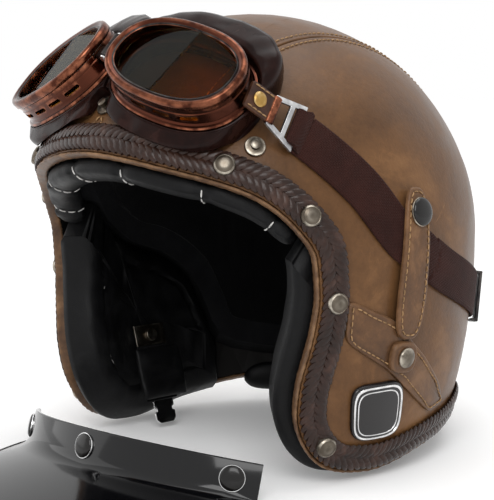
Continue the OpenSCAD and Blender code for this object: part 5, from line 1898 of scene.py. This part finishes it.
@dataclass
class Peak:
    """The glossy sun peak, taken off and standing on the table, with its snap caps."""

    band_h: float = 19 * MM
    reach: float = 54 * MM
    drop: float = 24 * MM
    thick: float = 2.4 * MM
    gap: float = 7 * MM

    def build(self) -> None:
        """Makes the peak and its caps."""
        studs = FORM.skin(np.array([SIDE_STUD, BROW_STUD]))
        x, back = studs[0, 0], studs[1, 1] - studs[0, 1]
        radius = (x * x + back * back) / (2 * abs(back))
        half, snap = math.asin(min(0.9, x * 1.13 / radius)), math.asin(x / radius)
        front = radius + self.reach
        lean = math.atan(self.drop / (front - radius * math.cos(half)))
        lift = GAP - math.sin(lean) * front
        cheek = 13 * MM + 0.488 * FORM.front_r
        y = (radius * math.cos(half) * math.cos(lean) - (self.drop + self.band_h) * math.sin(lean)
             - cheek - self.gap)
        at = Matrix.Translation((0, y, lift)) @ Matrix.Rotation(-lean, 4, "X")
        rows = [self.section(a, radius, front, lean, lift) for a in np.linspace(-half, half, 150)]
        settle(solid("peak_shell", carry(at, rows), FINISH.gloss, sharp=50), "peak",
               ["sun_peak"])
        turns = np.array([-snap, 0, snap])
        out = np.stack([-np.sin(turns), -np.cos(turns), 0 * turns], -1) * np.array([-1, 1, 1])
        points = out * (radius + self.thick) + np.array([0, 0, self.drop + self.band_h / 2])
        along = np.cross(np.array([0, 0, 1.0]), out)
        turn = np.array(at.to_3x3())
        places = Places(carry(at, points), along @ turn.T, out @ turn.T)
        cap = [(6.0, -0.4), (6.0, 0.3), (6.6, 0.5), (6.5, 1.2), (5.6, 1.9), (3.8, 2.3), (1, 2.5)]
        ring = [(6.2, -0.1), (6.9, 0.1), (7.0, 0.6), (6.8, 1.0), (6.3, 1.0)]
        settle(REPEATER.lay("peak_caps", turned(cap, 28), places, FINISH.lacquer), "peak",
               ["peak_snaps"])
        settle(REPEATER.lay("peak_cap_rings", turned(ring, 28), places, FINISH.chrome), "peak")

    def section(self, a: float, radius: float, front: float, lean: float, lift: float) -> Array:
        """One section of the peak at an angle: the band, a soft bend, and the brim to the table."""
        slope = self.drop / (front - radius)
        end = ((GAP - lift - slope * front * math.cos(lean))
               / (math.cos(a) * math.sin(lean) - slope * math.cos(lean)))
        end = max(end, radius + 0.4 * MM)
        top, bend = self.drop + self.band_h, 7 * MM
        bend_out = min(bend, (end - radius) * 0.6)
        up = [(self.thick, top - 0.9 * MM), (self.thick - 0.25 * MM, top - 0.25 * MM),
              (self.thick - 0.9 * MM, top), (0.9 * MM, top), (0.25 * MM, top - 0.25 * MM),
              (0, top - 0.9 * MM)]
        inner_start = [(0, self.drop + 1 * MM)]
        tip = end - radius
        brim = [(r, self.drop - slope * r) for r in np.linspace(0.5 * MM, tip - 0.7 * MM, 14)]
        edge = [(tip + 0.2 * MM, self.drop - slope * tip + 0.1 * MM),
                (tip + 1.2 * MM, self.drop - slope * tip + 0.55 * MM),
                (tip + self.thick * 0.8, self.drop - slope * tip + 0.75 * MM)]
        outer = [(r + self.thick, self.drop - slope * r)
                 for r in np.linspace(tip - 0.6 * MM, bend_out, 14)]
        a0 = np.array([self.thick + bend_out, self.drop - slope * bend_out])
        a1 = np.array([self.thick, self.drop])
        a2 = np.array([self.thick, self.drop + bend_out * 0.8])
        curve = [tuple((1 - t) ** 2 * a0 + 2 * t * (1 - t) * a1 + t * t * a2)
                 for t in np.linspace(0, 1, 9)[1:]]
        ring = np.array(up + inner_start + brim + edge + outer + curve)
        r = radius + ring[:, 0]
        return np.stack([r * math.sin(a), -r * math.cos(a), ring[:, 1]], -1)


# ---- The studio ----
@dataclass
class Studio:
    """A pale floor and backdrop, soft lamps and the camera."""

    floor: Colour = (0.9, 0.9, 0.9)
    near_lift: float = 0.16
    far_lift: float = 0.5
    reach: float = 40.0

    @staticmethod
    def seen_ray(g: Graph) -> NodeSocket:
        """1 for rays from the camera, through glass or off a mirror, and 0 for the rest."""
        path = g.node("ShaderNodeLightPath")
        return g.math("MAXIMUM", path.outputs["Is Camera Ray"], g.math(
            "MAXIMUM", path.outputs["Is Transmission Ray"], path.outputs["Is Glossy Ray"]))

    def paper(self) -> Material:
        """Pale paper that shows its own colour to the camera, to metal and through glass."""
        material = bpy.data.materials.new("studio_paper")
        g = empty_graph(material)
        shader = g.node("ShaderNodeBsdfDiffuse", {"Color": (*self.floor, 1)})
        away = g.node("ShaderNodeVectorMath", {0: g.node("ShaderNodeTexCoord").outputs["Object"]},
                      operation="LENGTH").outputs["Value"]
        glow = g.node("ShaderNodeEmission", {"Strength": g.math(
            "MULTIPLY", self.seen_ray(g), g.ramp(away, 0.4, 2.2, (self.near_lift, self.far_lift)))})
        both = g.node("ShaderNodeAddShader", {0: shader.outputs[0], 1: glow.outputs[0]})
        g.node("ShaderNodeOutputMaterial", {"Surface": both.outputs[0]})
        return material

    def light(self, name: str, place: Sequence[float], size: float, power: float) -> None:
        """A soft square lamp that looks at the helmet."""
        data = bpy.data.lights.new(name, "AREA")
        data.size, data.energy = size, power
        lamp = show(name, data)
        lamp.location = place
        aim = Vector((0, 0, 0.12)) - Vector(place)
        lamp.rotation_euler = aim.to_track_quat("-Z", "Y").to_euler()

    def world(self) -> None:
        """A world that lights plainly and looks white where it is seen or mirrored."""
        world = bpy.data.worlds.new("studio_world")
        g = empty_graph(world)
        strength = g.ramp(self.seen_ray(g), 0, 1, (0.6, 1.0))
        back = g.node("ShaderNodeBackground", {"Color": (1, 1, 1, 1), "Strength": strength})
        g.node("ShaderNodeOutputWorld", {"Surface": back.outputs[0]})
        bpy.context.scene.world = world

    def camera(self) -> None:
        """The point of view, from the helmet's front left."""
        data = bpy.data.cameras.new("camera")
        data.lens, data.sensor_width = 103.04, 36
        data.shift_x, data.shift_y = -0.0139, -0.0197
        eye = Vector((0.5865, -0.5969, 0.2056))
        camera = show("camera", data)
        camera.location = eye
        camera.rotation_euler = (Vector((0, 0, 0.12)) - eye).to_track_quat("-Z", "Y").to_euler()
        bpy.context.scene.camera = camera

    def build(self) -> None:
        """Sets the studio up."""
        t = circle(64)
        rim = np.stack([np.cos(t), np.sin(t), -0.00005 + 0 * t], -1) * (self.reach, self.reach, 1)
        mesh = bpy.data.meshes.new("studio_floor")
        mesh.from_pydata(rim.tolist(), [], [list(range(64))])
        mesh.materials.append(self.paper())
        floor = show("studio_floor", mesh)
        self.world()
        self.light("key", (1.2, -1.3, 1.4), 1.2, 22)
        self.light("fill", (-1.6, -1.0, 0.9), 1.6, 7)
        self.light("top", (0.1, 0.3, 1.9), 1.4, 13)
        self.camera()
        bpy.context.scene.view_settings.view_transform = "Standard"


def main() -> None:
    """Builds the helmet and its studio."""
    logging.basicConfig(level=logging.INFO, format="%(message)s")
    for part in (Cover(), Braid(), Padding(), Strap(), Tabs(), Goggles(), ChinStrap(), Peak(),
                 Studio()):
        part.build()
        LOG.info("%s is done", type(part).__name__)


if __name__ == "__main__":
    main()
